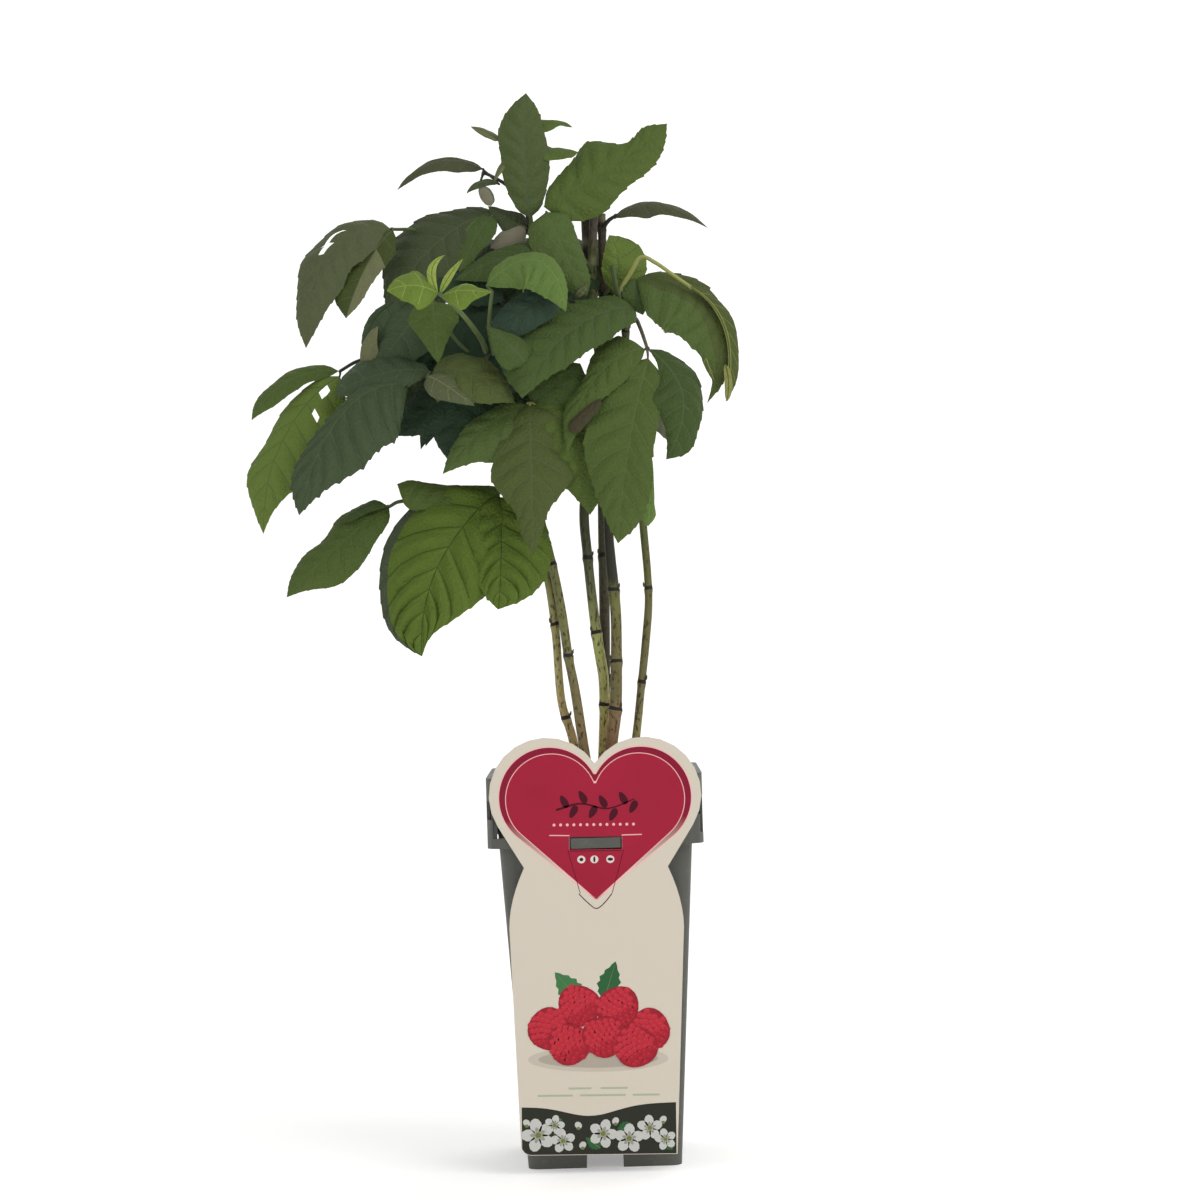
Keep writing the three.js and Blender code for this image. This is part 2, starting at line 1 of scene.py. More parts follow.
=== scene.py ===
"""A young raspberry plant in a tall square nursery pot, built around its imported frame.

Sizes inside the tables are millimetres. Leaves and canes are placed by (across, depth, up): where
they look to be from straight in front, with depth behind the canes counted positive.
"""

import math
from dataclasses import dataclass

import bmesh
import bpy
import numpy as np
from bpy.props import FloatProperty, FloatVectorProperty, IntProperty, PointerProperty
from mathutils import Matrix, Vector


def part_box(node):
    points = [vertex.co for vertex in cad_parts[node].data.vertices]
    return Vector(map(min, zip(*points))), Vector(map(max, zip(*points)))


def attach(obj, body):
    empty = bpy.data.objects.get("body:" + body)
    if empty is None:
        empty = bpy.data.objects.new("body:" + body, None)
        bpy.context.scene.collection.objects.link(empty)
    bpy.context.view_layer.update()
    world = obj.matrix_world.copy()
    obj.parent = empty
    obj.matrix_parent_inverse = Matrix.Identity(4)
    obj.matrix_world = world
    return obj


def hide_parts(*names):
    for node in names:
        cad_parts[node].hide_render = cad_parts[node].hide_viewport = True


bl_info = {
    "name": "Raspberry in a Nursery Pot",
    "version": (1, 0, 0),
    "blender": (4, 5, 0),
    "location": "View3D > Sidebar > Raspberry",
    "description": "Builds a potted raspberry plant around its packed frame",
    "category": "Add Mesh",
}

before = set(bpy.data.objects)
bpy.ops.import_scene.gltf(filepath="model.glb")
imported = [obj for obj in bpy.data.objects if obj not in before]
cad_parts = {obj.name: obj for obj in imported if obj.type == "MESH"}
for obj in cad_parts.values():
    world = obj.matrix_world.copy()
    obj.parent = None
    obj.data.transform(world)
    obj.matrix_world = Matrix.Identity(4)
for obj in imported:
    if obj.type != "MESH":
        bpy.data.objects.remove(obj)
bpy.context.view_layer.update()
MM = 0.001

# ---- places --------------------------------------------------------------------------

# Half the pot's rim and the pot's axis, which the tables' places are measured from; where the
# eye stands that sees them; how far the crown leans and has moved; how far up the canes go.
RIM_HALF = 52.5
POT_LOW, POT_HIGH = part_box("pot")
POT_X = (POT_LOW.x + POT_HIGH.x) / 2 / MM
POT_Y = POT_HIGH.y / MM - RIM_HALF
EYE_DISTANCE = 1600
EYE_HEIGHT = 280
LEAN = math.radians(1.7)
CROWN_SHIFT = (-2.7, -2.9)
COMPOST_TOP, CANE_TOP = 176, 470


def leaned(vectors):
    """Directions of the crown turned by its lean about the front-to-back line."""
    x, y, z = np.moveaxis(np.asarray(vectors, float), -1, 0)
    c, s = math.cos(LEAN), math.sin(LEAN)
    return np.stack([x * c + z * s, y, z * c - x * s], -1)


def seen(places):
    """(across, depth, up) in mm to the row frame in metres: across and up - EYE_HEIGHT are
    multiplied by 1 + depth / EYE_DISTANCE, the whole is leaned and moved to the pot's axis."""
    across, depth, up = np.moveaxis(np.asarray(places, float), -1, 0)
    spread = 1 + depth / EYE_DISTANCE
    flat = np.stack([across * spread, depth, EYE_HEIGHT + (up - EYE_HEIGHT) * spread], -1)
    return (leaned(flat) + [POT_X + CROWN_SHIFT[0], POT_Y, CROWN_SHIFT[1]]) * MM


def facing(right, up):
    """The direction that looks so many degrees right of straight ahead and so many upwards."""
    r, u = math.radians(right), math.radians(up)
    return leaned([math.sin(r) * math.cos(u), -math.cos(r) * math.cos(u), math.sin(u)])


def unit(vectors):
    """Vectors divided by their lengths."""
    return vectors / np.maximum(np.linalg.norm(vectors, axis=-1, keepdims=True), 1e-12)


def smooth_path(points, count):
    """count places on the curve through the points: each span is the cubic whose slope at a
    point is half the step between that point's neighbours."""
    p = np.asarray(points, float)
    p = np.vstack([2 * p[0] - p[1], p, 2 * p[-1] - p[-2]])
    at = np.linspace(0, len(p) - 3, count)
    i = np.minimum(at.astype(int), len(p) - 4)
    f = (at - i)[:, None]
    a, b, c, d = (p[i + k] for k in range(4))
    slope, bend = (c - a) * f, (2 * a - 5 * b + 4 * c - d) * f**2
    return 0.5 * (2 * b + slope + bend + (3 * b - a - 3 * c + d) * f**3)


# ---- meshes --------------------------------------------------------------------------


class Pile:
    """Closed shapes gathered into one mesh. A shape is a table of points: its columns close
    round on themselves and its first and last rows are each a single place."""

    def __init__(self):
        self.points, self.faces, self.slots, self.marks = [], [], [], []
        self.names, self.count = [], 0

    def slot(self, name):
        if name not in self.names:
            self.names.append(name)
        return self.names.index(name)

    def add(self, rows, slots, mark=None, ring=False, split=None, gone=None, rim=None):
        """Adds one table; the faces are turned outwards by the sign of their volume. With ring,
        its rows close round too, and it has no ends. With split, each face is cut in two: from
        its second corner to its fourth where split is true, else from its first to its third.
        The faces marked as gone are left out, and those of the rim come in for them."""
        high, around = rows.shape[:2]
        index = np.arange(high * around).reshape(high, around)
        if ring:
            index = np.vstack([index, index[:1]])
        after = np.roll(index, -1, axis=1)
        corners = index[:-1], after[:-1], after[1:], index[1:]
        faces = np.stack(corners, -1).reshape(-1, 4)
        slots = np.broadcast_to(slots, corners[0].shape).ravel()
        flat = rows.reshape(-1, 3)
        a, b, c, d = (flat[faces[:, k]] - flat.mean(0) for k in range(4))
        volume = (a * (np.cross(b, c) + np.cross(c, d))).sum()
        if split is not None:
            a, b, c, d = (np.where(split, corners[k], corners[k - 1]) for k in range(4))
            halves = (a, b, d), (b, c, d)
            faces = np.concatenate([np.stack(half, -1).reshape(-1, 3) for half in halves])
            slots = np.tile(slots, 2)
        if gone is not None:
            kept = ~np.tile(gone.ravel(), 2)
            faces = np.concatenate([faces[kept], rim])
            slots = np.concatenate([slots[kept], np.full(len(rim), slots[0])])
        self.faces.append((faces[:, ::-1] if volume < 0 else faces) + self.count)
        self.points.append(flat)
        self.slots.append(slots)
        self.marks.append(np.zeros(len(flat)) if mark is None else np.ravel(mark))
        self.count += len(flat)

    def merge(self, other, forward=0):
        """Takes in the shapes of another pile; their front sides come so many hundredths of a
        mm further forward."""
        table = np.array([self.slot(name) for name in other.names])
        self.faces += [faces + self.count for faces in other.faces]
        self.slots += [table[slots] for slots in other.slots]
        for points in other.points:
            front = points[:, 1] < points[:, 1].max() - 1e-5
            self.points.append(points - front[:, None] * [0, forward * 1e-5, 0])
        self.marks += other.marks
        self.count += other.count

    def build(self, name, sharp=50, weld=3e-6):
        """The mesh object: doubles are merged, faces with no width dropped, edges that turn
        more than sharp degrees kept crisp."""
        mesh = bpy.data.meshes.new(name)
        faces = [face for table in self.faces for face in table.tolist()]
        mesh.from_pydata(np.vstack(self.points).tolist(), [], faces)
        mesh.polygons.foreach_set("material_index", np.concatenate(self.slots).astype(np.int32))
        mark = mesh.attributes.new("mark", "FLOAT", "POINT")
        mark.data.foreach_set("value", np.concatenate(self.marks).astype(np.float32))
        work = bmesh.new()
        work.from_mesh(mesh)
        bmesh.ops.remove_doubles(work, verts=work.verts, dist=weld)
        bmesh.ops.dissolve_degenerate(work, edges=work.edges, dist=weld / 3)
        work.to_mesh(mesh)
        work.free()
        return finished(mesh, name, [MATERIALS[n] for n in self.names], sharp)


def finished(mesh, name, materials, sharp):
    """Links a mesh as a piece at the origin, smooth but for its sharp edges, or all flat."""
    for material in materials:
        mesh.materials.append(material)
    mesh.polygons.foreach_set("use_smooth", np.full(len(mesh.polygons), sharp > 0))
    if sharp > 0:
        mesh.set_sharp_from_angle(angle=math.radians(sharp))
    mesh.update()
    piece = bpy.data.objects.new(name, mesh)
    bpy.context.scene.collection.objects.link(piece)
    return piece


def place(piece, slot, *nodes):
    """The piece rides on the plant's one body and stands for the CAD nodes."""
    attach(piece, "root")
    if nodes:
        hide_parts(*nodes)


def single(spot, columns):
    """A row of a table that is a single place."""
    return np.repeat(np.asarray(spot)[None, None], columns, axis=1)


def closed(rows, first, last):
    """A table with a single place before its first row and one after its last."""
    return np.concatenate([single(first, rows.shape[1]), rows, single(last, rows.shape[1])])


def tube_rows(path, radii, sides):
    """Rings square to a path, each of a radius or of one radius for each side, and a point at
    either end: place + radius * (cos(turn) * aside + sin(turn) * over)."""
    heading = unit(np.gradient(path, axis=0))
    level = np.array([0, 0, 1.0] if abs(unit(path[-1] - path[0])[1]) > 0.75 else [0, 1.0, 0])
    aside = unit(np.cross(heading, level))
    over = np.cross(aside, heading)
    turn = np.linspace(0, 2 * np.pi, sides, endpoint=False)
    radii = np.asarray(radii, float)
    radii = np.broadcast_to(radii if radii.ndim == 2 else radii[:, None], (len(path), sides))
    round_it = np.cos(turn)[:, None] * aside[:, None] + np.sin(turn)[:, None] * over[:, None]
    rings = path[:, None] + radii[..., None] * round_it
    return closed(rings, path[0], path[-1])


# ---- materials -----------------------------------------------------------------------

MATERIALS = {}


def to_linear(colour):
    """An sRGB hex colour as the linear colour that a shader reads."""
    value = int(colour.lstrip("#"), 16)
    srgb = np.array([value >> 16 & 255, value >> 8 & 255, value & 255]) / 255
    linear = np.where(srgb <= 0.04045, srgb / 12.92, ((srgb + 0.055) / 1.055) ** 2.4)
    return (*map(float, linear), 1.0)


def node(tree, kind, settings=None, **links):
    """Adds a node. Settings name its own properties or, as text with a capital or a number,
    its sockets; links name sockets by words joined with _, or by _ and a number."""
    made = tree.nodes.new("ShaderNode" + kind)
    for key, value in (settings or {}).items():
        if isinstance(key, str) and hasattr(made, key):
            setattr(made, key, value)
        else:
            made.inputs[key].default_value = value
    for key, source in links.items():
        socket = made.inputs[int(key[1:]) if key[1:].isdigit() else key.replace("_", " ")]
        tree.links.new(source, socket)
    return made


def object_place(tree):
    """The socket with a point's place on its object."""
    return node(tree, "TexCoord").outputs["Object"]


def height_on(tree):
    """The socket with a point's height."""
    return node(tree, "SeparateXYZ", Vector=object_place(tree)).outputs["Z"]


def ramp(tree, source, stops):
    """A colour ramp fed by source, with a hex colour or a grey value at each place."""
    made = node(tree, "ValToRGB", Fac=source)
    elements = made.color_ramp.elements
    while len(elements) < len(stops):
        elements.new(0.5)
    for element, (where, colour) in zip(elements, stops):
        element.position = where
        element.color = to_linear(colour) if isinstance(colour, str) else (*[colour] * 3, 1)
    return made.outputs["Color"]


def mixed(tree, share, first, second, blend="MIX"):
    """Two colours mixed by a share; either may be a socket or a hex colour."""
    made = node(tree, "Mix", {"data_type": "RGBA", "blend_type": blend})
    for index, value in ((0, share), (6, first), (7, second)):
        if isinstance(value, bpy.types.NodeSocket):
            tree.links.new(value, made.inputs[index])
        else:
            made.inputs[index].default_value = to_linear(value) if index else value
    return made.outputs[2]


def shader(name, colour=None, **surface):
    """A new material with a Principled shader, of one plain colour if it is given. Returns its
    tree and shader."""
    material = bpy.data.materials.new(name)
    material.use_nodes = True
    tree = material.node_tree
    principled = next(n for n in tree.nodes if n.type == "BSDF_PRINCIPLED")
    for socket, value in surface.items():
        principled.inputs[socket.replace("_", " ")].default_value = value
    if colour is not None:
        principled.inputs["Base Color"].default_value = (*colour, 1)
    MATERIALS[name] = material
    return tree, principled


def paint(tree, skin, colour):
    """Feeds a colour to a shader."""
    tree.links.new(colour, skin.inputs["Base Color"])


def grain(tree, size_mm, detail=3.0, stretch=(1, 1, 1)):
    """Noise on object coordinates whose lumps are size_mm across, drawn out by stretch."""
    scale = tuple(1 / (size_mm * MM * s) for s in stretch)
    mapped = node(tree, "Mapping", {"Scale": scale}, Vector=object_place(tree))
    noise = node(tree, "TexNoise", {"Scale": 1.0, "Detail": detail}, Vector=mapped.outputs[0])
    return noise.outputs[0]


def relief(tree, principled, height, depth_mm, strength=0.6):
    """Feeds a height pattern to the shader's normal as a bump of a real depth."""
    bump = node(tree, "Bump", {"Strength": strength, "Distance": depth_mm * MM}, Height=height)
    tree.links.new(bump.outputs[0], principled.inputs["Normal"])


# Living leaf blades: thin, waxy on top and matte in the dips between the smallest veins. Each
# tint is one plain colour, dealt out by spray, and has its tone of vein.
LEAF_TINTS = {
    "leaf_top": ("#4f5c35", "vein_cool"), "leaf_bright": ("#627534", "vein"),
    "leaf_fresh": ("#53642e", "vein"), "leaf_mid": ("#4e5f2d", "vein"),
    "leaf_green": ("#516333", "vein"), "leaf_calm": ("#47592c", "vein_cool"),
    # The side tint is darker for a blade that faces the key lamp: painted shade.
    "leaf_deep": ("#415229", "vein_cool"), "leaf_side_shade": ("#475a2f", "vein_cool"),
    "leaf_cool": ("#445137", "vein_cool"), "leaf_steel": ("#425138", "vein_cool"),
    "leaf_grey": ("#464f35", "vein_cool"), "leaf_olive": ("#545c3f", "vein_olive"),
    "leaf_dusk": ("#424d25", "vein_cool"), "leaf_moss": ("#4e592e", "vein_olive"),
    "leaf_thin": ("#4b4f37", "vein_cool"), "leaf_lit": ("#5f773c", "vein_lit"),
    "leaf_low": ("#566a27", "vein_low_shade"), "leaf_rim": ("#83864a", "vein"),
    "leaf_straw": ("#6e7050", "vein_olive"), "leaf_curl": ("#47503a", "vein"),
    "leaf_bronze": ("#433f2c", "vein"), "leaf_young": ("#6a8034", "vein_pale"),
    # The shade, night and slate tints are painted shade: dark leaves put where the inside of the
    # crown lies in shade, and slate a painted shadow that one leaf casts on another. The ridge
    # tint is painted light on the lit side of a furrow.
    "leaf_new": ("#94a350", "vein"), "leaf_shade": ("#38482f", "vein_dark"),
    "leaf_night_shade": ("#2c3f2d", "vein_dark"), "leaf_ridge_lit": ("#5d712c", "vein"),
    "leaf_slate_shadow": ("#324536", "vein_dark"),
}
UNDERSIDE_TINTS = {"leaf_under": "#6c7356", "leaf_blush": "#77735f"}
# The low vein is darker than its blade: painted shade in the furrows that the veins lie in. The
# dark vein goes with the leaves whose dark tints are painted shade.
VEIN_TINTS = {
    "vein": "#536435", "vein_cool": "#4d5a3d", "vein_olive": "#555c3b", "vein_lit": "#67803f",
    "vein_pale": "#86974d", "vein_dark": "#303d2a", "vein_low_shade": "#415120",
}
STALK_TINTS = {
    "stalk_green": "#4e5c38", "stalk_young": "#616f45", "stalk_pale": "#9a9c5b",
    "stalk_brown": "#665f4b", "stalk_dark": "#33332a",
}
# The heights in metres between which the bark's colours are laid out.
BARK_SPAN = (0.17, 0.48)
# The tints of the two sides of a furrow, which a side vein runs along: painted shade on its
# dark side and painted light on its lit side, which stand for the light on the pleats.
PAINTED_FURROW_TINTS = {"leaf_low": ("leaf_low", "leaf_ridge_lit"), "leaf_cool": ("leaf_steel", "leaf_cool")}


def leaf_material(props, name, rough=0.7, vein_mm=2.4, depth_mm=1.1, **surface):
    """A leaf's skin: plain colour, with the net of the smallest veins as a low relief."""
    colour = getattr(props, name)
    tree, skin = shader(name, colour, Roughness=rough, Specular_IOR_Level=0.16, **surface)
    settings = {"feature": "DISTANCE_TO_EDGE", "Scale": 1 / (vein_mm * MM)}
    net = node(tree, "TexVoronoi", settings, Vector=object_place(tree))
    relief(tree, skin, net.outputs["Distance"], depth_mm, 0.8)


def foliage_materials(props):
    """The skins of the blades, their undersides, veins and stalks."""
    for name in LEAF_TINTS:
        leaf_material(props, name)
    # The underside is felted with white hairs, which scatter light and lift its edges.
    for name in UNDERSIDE_TINTS:
        leaf_material(props, name, 0.9, 1.2, 0.08, Sheen_Weight=0.25, Sheen_Roughness=0.6)
    for name in VEIN_TINTS:
        leaf_material(props, name, 0.6, 1.5, 0.04)
    # Stalks are ribbed along their length.
    for name in STALK_TINTS:
        tree, skin = shader(name, getattr(props, name), Roughness=0.6, Specular_IOR_Level=0.3)
        relief(tree, skin, grain(tree, 0.5, 2, (1, 1, 6)), 0.1)


def bark_material(name, stops):
    """Green first-year bark, smooth and waxy: colours change up the cane, partly as the bark's own
    and partly as painted light low down; blotches a few mm long run along it, small dark flecks
    dot it, and each node has a dark ring."""
    tree, skin = shader(name, Roughness=0.58, Specular_IOR_Level=0.35)
    low, high = BARK_SPAN
    share = node(tree, "MapRange", {"From Min": low, "From Max": high}, Value=height_on(tree))
    uneven = grain(tree, 9, 2, (0.5, 0.5, 2))
    shifted = node(tree, "Math", {"operation": "MULTIPLY_ADD", 1: 0.08, 2: -0.04}, _0=uneven)
    spread = node(tree, "Math", {"operation": "ADD"}, _0=share.outputs[0], _1=shifted.outputs[0])
    scaled = [((z * MM - low) / (high - low), colour) for z, colour in stops]
    colour = ramp(tree, spread.outputs[0], scaled)
    mark = node(tree, "Attribute", {"attribute_name": "mark"}).outputs["Fac"]
    blotches, flecks = grain(tree, 2.6, 4, (1, 1, 3)), grain(tree, 1.2, 3, (1, 1, 2.4))
    paler = mixed(tree, 0.45, colour, "#a3a06a", "SOFT_LIGHT")
    # Blotches, flecks, the bloom above a ring and the ring itself.
    for pattern, steps, over in (
        (blotches, [(0.42, 0.0), (0.64, 1.0)], paler),
        (flecks, [(0.54, 0.0), (0.64, 0.85)], "#33291a"),
        (mark, [(0.0, 0.4), (0.25, 0.0)], "#a5a07a"),
        (mark, [(0.58, 0.0), (0.7, 1.0)], "#1b1710"),
    ):
        colour = mixed(tree, ramp(tree, pattern, steps), colour, over)
    paint(tree, skin, colour)
    relief(tree, skin, grain(tree, 0.8, 3, (1, 1, 5)), 0.15, 0.5)


# ---- leaves --------------------------------------------------------------------------

# Where the four rows of a tooth lie along it, how far each reaches out, and the fewest and most
# teeth on a side.
PHASES = np.array([0.0, 0.42, 0.80, 0.90])
TOOTH_REACH = np.array([0.0, 0.35, 0.92, 1.0])
TEETH = (6, 16)
# The columns of a blade as shares of its half width; the three in the middle are the midrib.
COLUMNS = np.array([-1, -0.83, -0.6, -0.32, -0.01, 0, 0.01, 0.32, 0.6, 0.83, 1])
LAST = len(COLUMNS) - 1
MIDDLE = LAST // 2
MIDRIB_WIDE, MIDRIB_HIGH = 0.34, 0.45
# Where along a blade its half widths are stated; the last of them, at the tip, is none.
STATIONS = np.array([0.1, 0.3, 0.5, 0.7, 0.9, 1.0])


@dataclass
class Blade:
    """One leaflet: where its midrib starts, passes half-way and ends, its half widths as seen
    at tenths 1, 3, 5, 7 and 9 of its length, the way its face looks, its tint and its veins'.
    Its edge is a strip of another tint, of so many columns on one side, from a share of the
    length on; inner counts the columns beside the midrib that have this tint too. Then the size
    of its teeth in mm, the share of the usual pleats, how far its sides sag as a share of its
    width, how far its side veins run ahead, and its holes."""

    foot: tuple
    over: tuple
    tip: tuple
    left: tuple
    right: tuple
    face: tuple
    tint: str
    vein: str = None
    edge: str = None
    edge_side: int = 0
    edge_columns: int = 1
    edge_from: float = 0.0
    inner: int = 0
    tooth: float = None
    pleat: float = 1.0
    sag: float = 0.22
    ahead: float = 0.155
    holes: tuple = ()


@dataclass
class Spray:
    """A leaf: the cane and height it grows from, its stalk's tint, the places that this
    passes, its blades and the stalk's radius at its foot."""

    cane: str
    up: float
    tone: str
    stalk: list
    blades: list
    thick: float = 1.2


def half_width(stations, along):
    """A half blade's width: a cubic through its stations with slopes from their neighbours,
    rounded at the foot as a root of the length, and closed to a point at the tip."""
    widths = np.append(stations, 0.0)
    slopes = np.gradient(widths, STATIONS)
    i = np.clip(np.searchsorted(STATIONS, along) - 1, 0, len(STATIONS) - 2)
    h = STATIONS[i + 1] - STATIONS[i]
    f = (along - STATIONS[i]) / h
    value = (2 * f**3 - 3 * f**2 + 1) * widths[i] + (f**3 - 2 * f**2 + f) * h * slopes[i]
    value += (3 * f**2 - 2 * f**3) * widths[i + 1] + (f**3 - f**2) * h * slopes[i + 1]
    foot = widths[0] * (np.clip(along, 0, 0.1) / 0.1) ** 0.6
    return np.where(along < 0.1, foot, np.maximum(value, 0)) * MM


def eaten(row, rows, holes):
    """The faces that holes leave out of a leaflet's table and the rim that joins its two sides
    round them. A hole is the share of the length where it starts and ends, its column, and how
    far its outer side comes in, or its inner side goes out where that is negative. A top column
    q lies over column 2 * LAST - q, so every open edge p, q of the top gets the faces p, q, q'
    and p, q', p'."""
    gone = np.zeros((len(row) - 1, LAST), bool)
    for start, stop, column, pull in holes:
        top, foot = np.searchsorted(row[:, 0], (start, stop))
        gone[top:foot, column] = True
        moved, still = (column, column + 1) if pull < 0 else (column + 1, column)
        part = rows[top : foot + 1]
        for a, b in ((moved, still), (2 * LAST - moved, 2 * LAST - still)):
            part[:, a] += abs(pull) * (part[:, b] - part[:, a])
    whole = ~np.pad(gone, 1)
    line, column = np.nonzero(gone)
    open_edges = []
    # The sides of a face: the way to its neighbour and the two corners it shares with it.
    for (down, aside), *corners in (((-1, 0), (0, 0), (0, 1)), ((0, 1), (0, 1), (1, 1)),
                                    ((1, 0), (1, 1), (1, 0)), ((0, -1), (1, 0), (0, 0))):
        free = whole[line + 1 + down, column + 1 + aside]
        at = [(2 * LAST * (line[free] + r), column[free] + c) for r, c in corners]
        open_edges.append([r + c for r, c in at] + [r + 2 * LAST - c for r, c in at])
    p, q, p_below, q_below = np.hstack(open_edges)
    rim = np.concatenate([np.stack([p, q, q_below], -1), np.stack([p, q_below, p_below], -1)])
    return np.hstack([gone, gone[:, ::-1]]), rim


def midrib(foot, knee, tip, along):
    """Places and headings on the quadratic curve from foot to tip that bends to the knee."""
    a, b = (1 - along)[..., None], along[..., None]
    places = a**2 * foot + b**2 * tip + 2 * b * a * knee
    return places, unit(a * (knee - foot) + b * (tip - knee))


def blade_rows(spec, rng, props):
    """A leaflet as a closed thin sheet on a grid. Rows lie along the side veins, four to a
    tooth: place = midrib(a) + across * side + lift * normal, where a runs ahead of the row by
    up to a sixth of the length at the margin. The margin steps out to a point at each tooth,
    larger at every second one, where a side vein ends; between two veins the blade bulges up.
    Its sides sag by a share of their width, and its middle is raised by as much as they sag on
    average, so that the outline stays where it is given. Returns how far along each row is,
    which teeth have a vein, and the table."""
    foot, over, tip = seen(spec.foot), seen(spec.over), seen(spec.tip)
    knee = 2 * over - (foot + tip) / 2
    length = np.linalg.norm(over - foot) + np.linalg.norm(tip - over)
    teeth = int(np.clip(round(length / MM / props.tooth_pitch), *TEETH))
    row = np.append((np.arange(teeth)[:, None] + PHASES).ravel() / teeth, 1.0)[:, None]
    reach = np.append(np.tile(TOOTH_REACH, teeth), 0.0)[:, None]
    strong = np.arange(teeth) % 2 == 1
    jitter = rng.uniform(0.75, 1.2, teeth)
    size = np.append(np.repeat((0.5 + 0.5 * strong) * jitter, len(PHASES)), 0.0)[:, None]

    way, out = np.sign(COLUMNS), np.abs(COLUMNS)
    along = np.clip(row + spec.ahead * np.sin(np.pi * row) ** 0.8 * out**1.1, 0, 1)
    left, right = half_width(spec.left, along), half_width(spec.right, along)
    places, heading = midrib(foot, knee, tip, along)
    normal = facing(*spec.face)
    normal = unit(normal - (heading @ normal)[..., None] * heading)
    side = np.cross(heading, normal)
    # The widths are as seen from in front, so a side that turns away is wider than it looks.
    half = np.where(way < 0, left, right)
    half = half / np.maximum(np.hypot(side[..., 0], side[..., 2]), 0.55)

    rib = MIDRIB_WIDE * MM * (1.15 - 0.7 * along)
    across = np.where(out < 0.02, way * np.minimum(rib, 0.4 * half), COLUMNS * half)
    tooth = spec.tooth or props.tooth_depth * np.maximum(half.max(), 3 * MM) / MM
    step = tooth * MM * reach * size * np.minimum(1, half / (5 * MM)) * (out == 1)
    across = across + way * step
    between = (row * teeth - 1.85) / 2
    apart = np.abs(between - np.round(between)) * 2
    rise = np.sin(np.pi / 2 * apart) ** 0.8 * np.sin(np.pi * np.minimum(out, 0.97)) ** 0.7
    lift = props.pleat * spec.pleat * MM * np.minimum(1, half / (14 * MM)) * rise
    waves = rng.uniform(0, 2 * np.pi, 4)
    wavy = np.sin(2 * np.pi * 1.6 * along + waves[0] + COLUMNS) * 0.08
    wavy = wavy + np.sin(2 * np.pi * 3.1 * along + waves[1] + 2 * COLUMNS) * 0.04
    lift = lift + wavy * half * out**1.5
    lift = lift - (0.5 * spec.sag * out + spec.sag * out**2.4) * half
    lift = lift + 1.35 * spec.sag * (left + right) / 2
    lift = lift - np.where(out < 0.02, 0.1 * MM, 0)
    top = places + across[..., None] * side + lift[..., None] * normal
    top = top + (0.15 * step)[..., None] * heading
    thick = props.thickness * np.minimum(1, half / (1.5 * MM))
    thick = thick + (out == 0) * MIDRIB_HIGH * MM * (1 - 0.7 * along) * np.minimum(1, half / MM)
    below = top - thick[..., None] * normal
    return row, strong, np.concatenate([top, below[:, -2:0:-1]], axis=1)


def blade_slots(pile, spec, strong):
    """The material slot of each face of a leaflet: its tint, its veins, the painted shade and
    painted light on the two sides of its furrows, its underside and the strips of another
    tint along its midrib and its edge."""
    slots = np.full((len(strong) * len(PHASES), 2 * LAST), pile.slot(spec.tint))
    vein = pile.slot(spec.vein or LEAF_TINTS[spec.tint][1])
    veined = np.flatnonzero(strong) * len(PHASES) + 2
    # Painted shade on the row before each strong side vein, painted light on the second row after
    # it.
    if spec.tint in PAINTED_FURROW_TINTS:
        dark, light = (pile.slot(name) for name in PAINTED_FURROW_TINTS[spec.tint])
        slots[veined - 1, :LAST] = dark
        slots[np.minimum(veined + 2, len(slots) - 1), :LAST] = light
    slots[veined, 1 : LAST - 1] = vein
    slots[:, MIDDLE - 1 : MIDDLE + 1] = vein
    slots[:, LAST:] = pile.slot("leaf_under")
    if spec.inner:
        slots[:, MIDDLE + 1 : MIDDLE + 1 + spec.inner] = pile.slot(spec.edge)
    if spec.edge:
        wide = spec.edge_columns
        strip = slice(0, wide) if spec.edge_side < 0 else slice(LAST - wide, LAST)
        slots[int(len(slots) * spec.edge_from) :, strip] = pile.slot(spec.edge)
    return slots


def add_blade(pile, spec, rng, props):
    """Adds one leaflet, with its holes; its faces are cut in two along the side veins."""
    row, strong, rows = blade_rows(spec, rng, props)
    gone, rim = eaten(row, rows, spec.holes) if spec.holes else (None, None)
    split = np.arange(2 * LAST) // MIDDLE % 2 == 0
    pile.add(rows, blade_slots(pile, spec, strong), split=split, gone=gone, rim=rim)


def add_stalk(pile, points, foot_radius, tip_radius, slot):
    """A leaf stalk: a tapering tube on a smooth path, a little thicker where it starts."""
    spans = np.linalg.norm(np.diff(np.asarray(points, float), axis=0), axis=1).sum()
    count = int(np.clip(spans / 3, 5, 30))
    path = seen(smooth_path(points, count))
    along = np.linspace(0, 1, count)
    radii = foot_radius + (tip_radius - foot_radius) * along + 0.5 * np.exp(-along * 14)
    radii = radii[:, None] * (1 + 0.1 * np.sin(np.linspace(0, 6 * np.pi, 7, endpoint=False)))
    pile.add(tube_rows(path, radii * MM, 7), pile.slot(slot))


# ---- canes ---------------------------------------------------------------------------

CANE_ROWS, CANE_SIDES = 260, 18
# The mark of bark that has neither a ring nor bloom.
PLAIN_BARK = 0.4
BUD_RADII = np.array([0.5, 0.7, 0.6, 0.4, 0.1])


@dataclass
class Cane:
    """Places up a cane, its radius at foot and tip, the height of its rings, its colours."""

    points: list
    radii: tuple
    rings: tuple
    colours: list
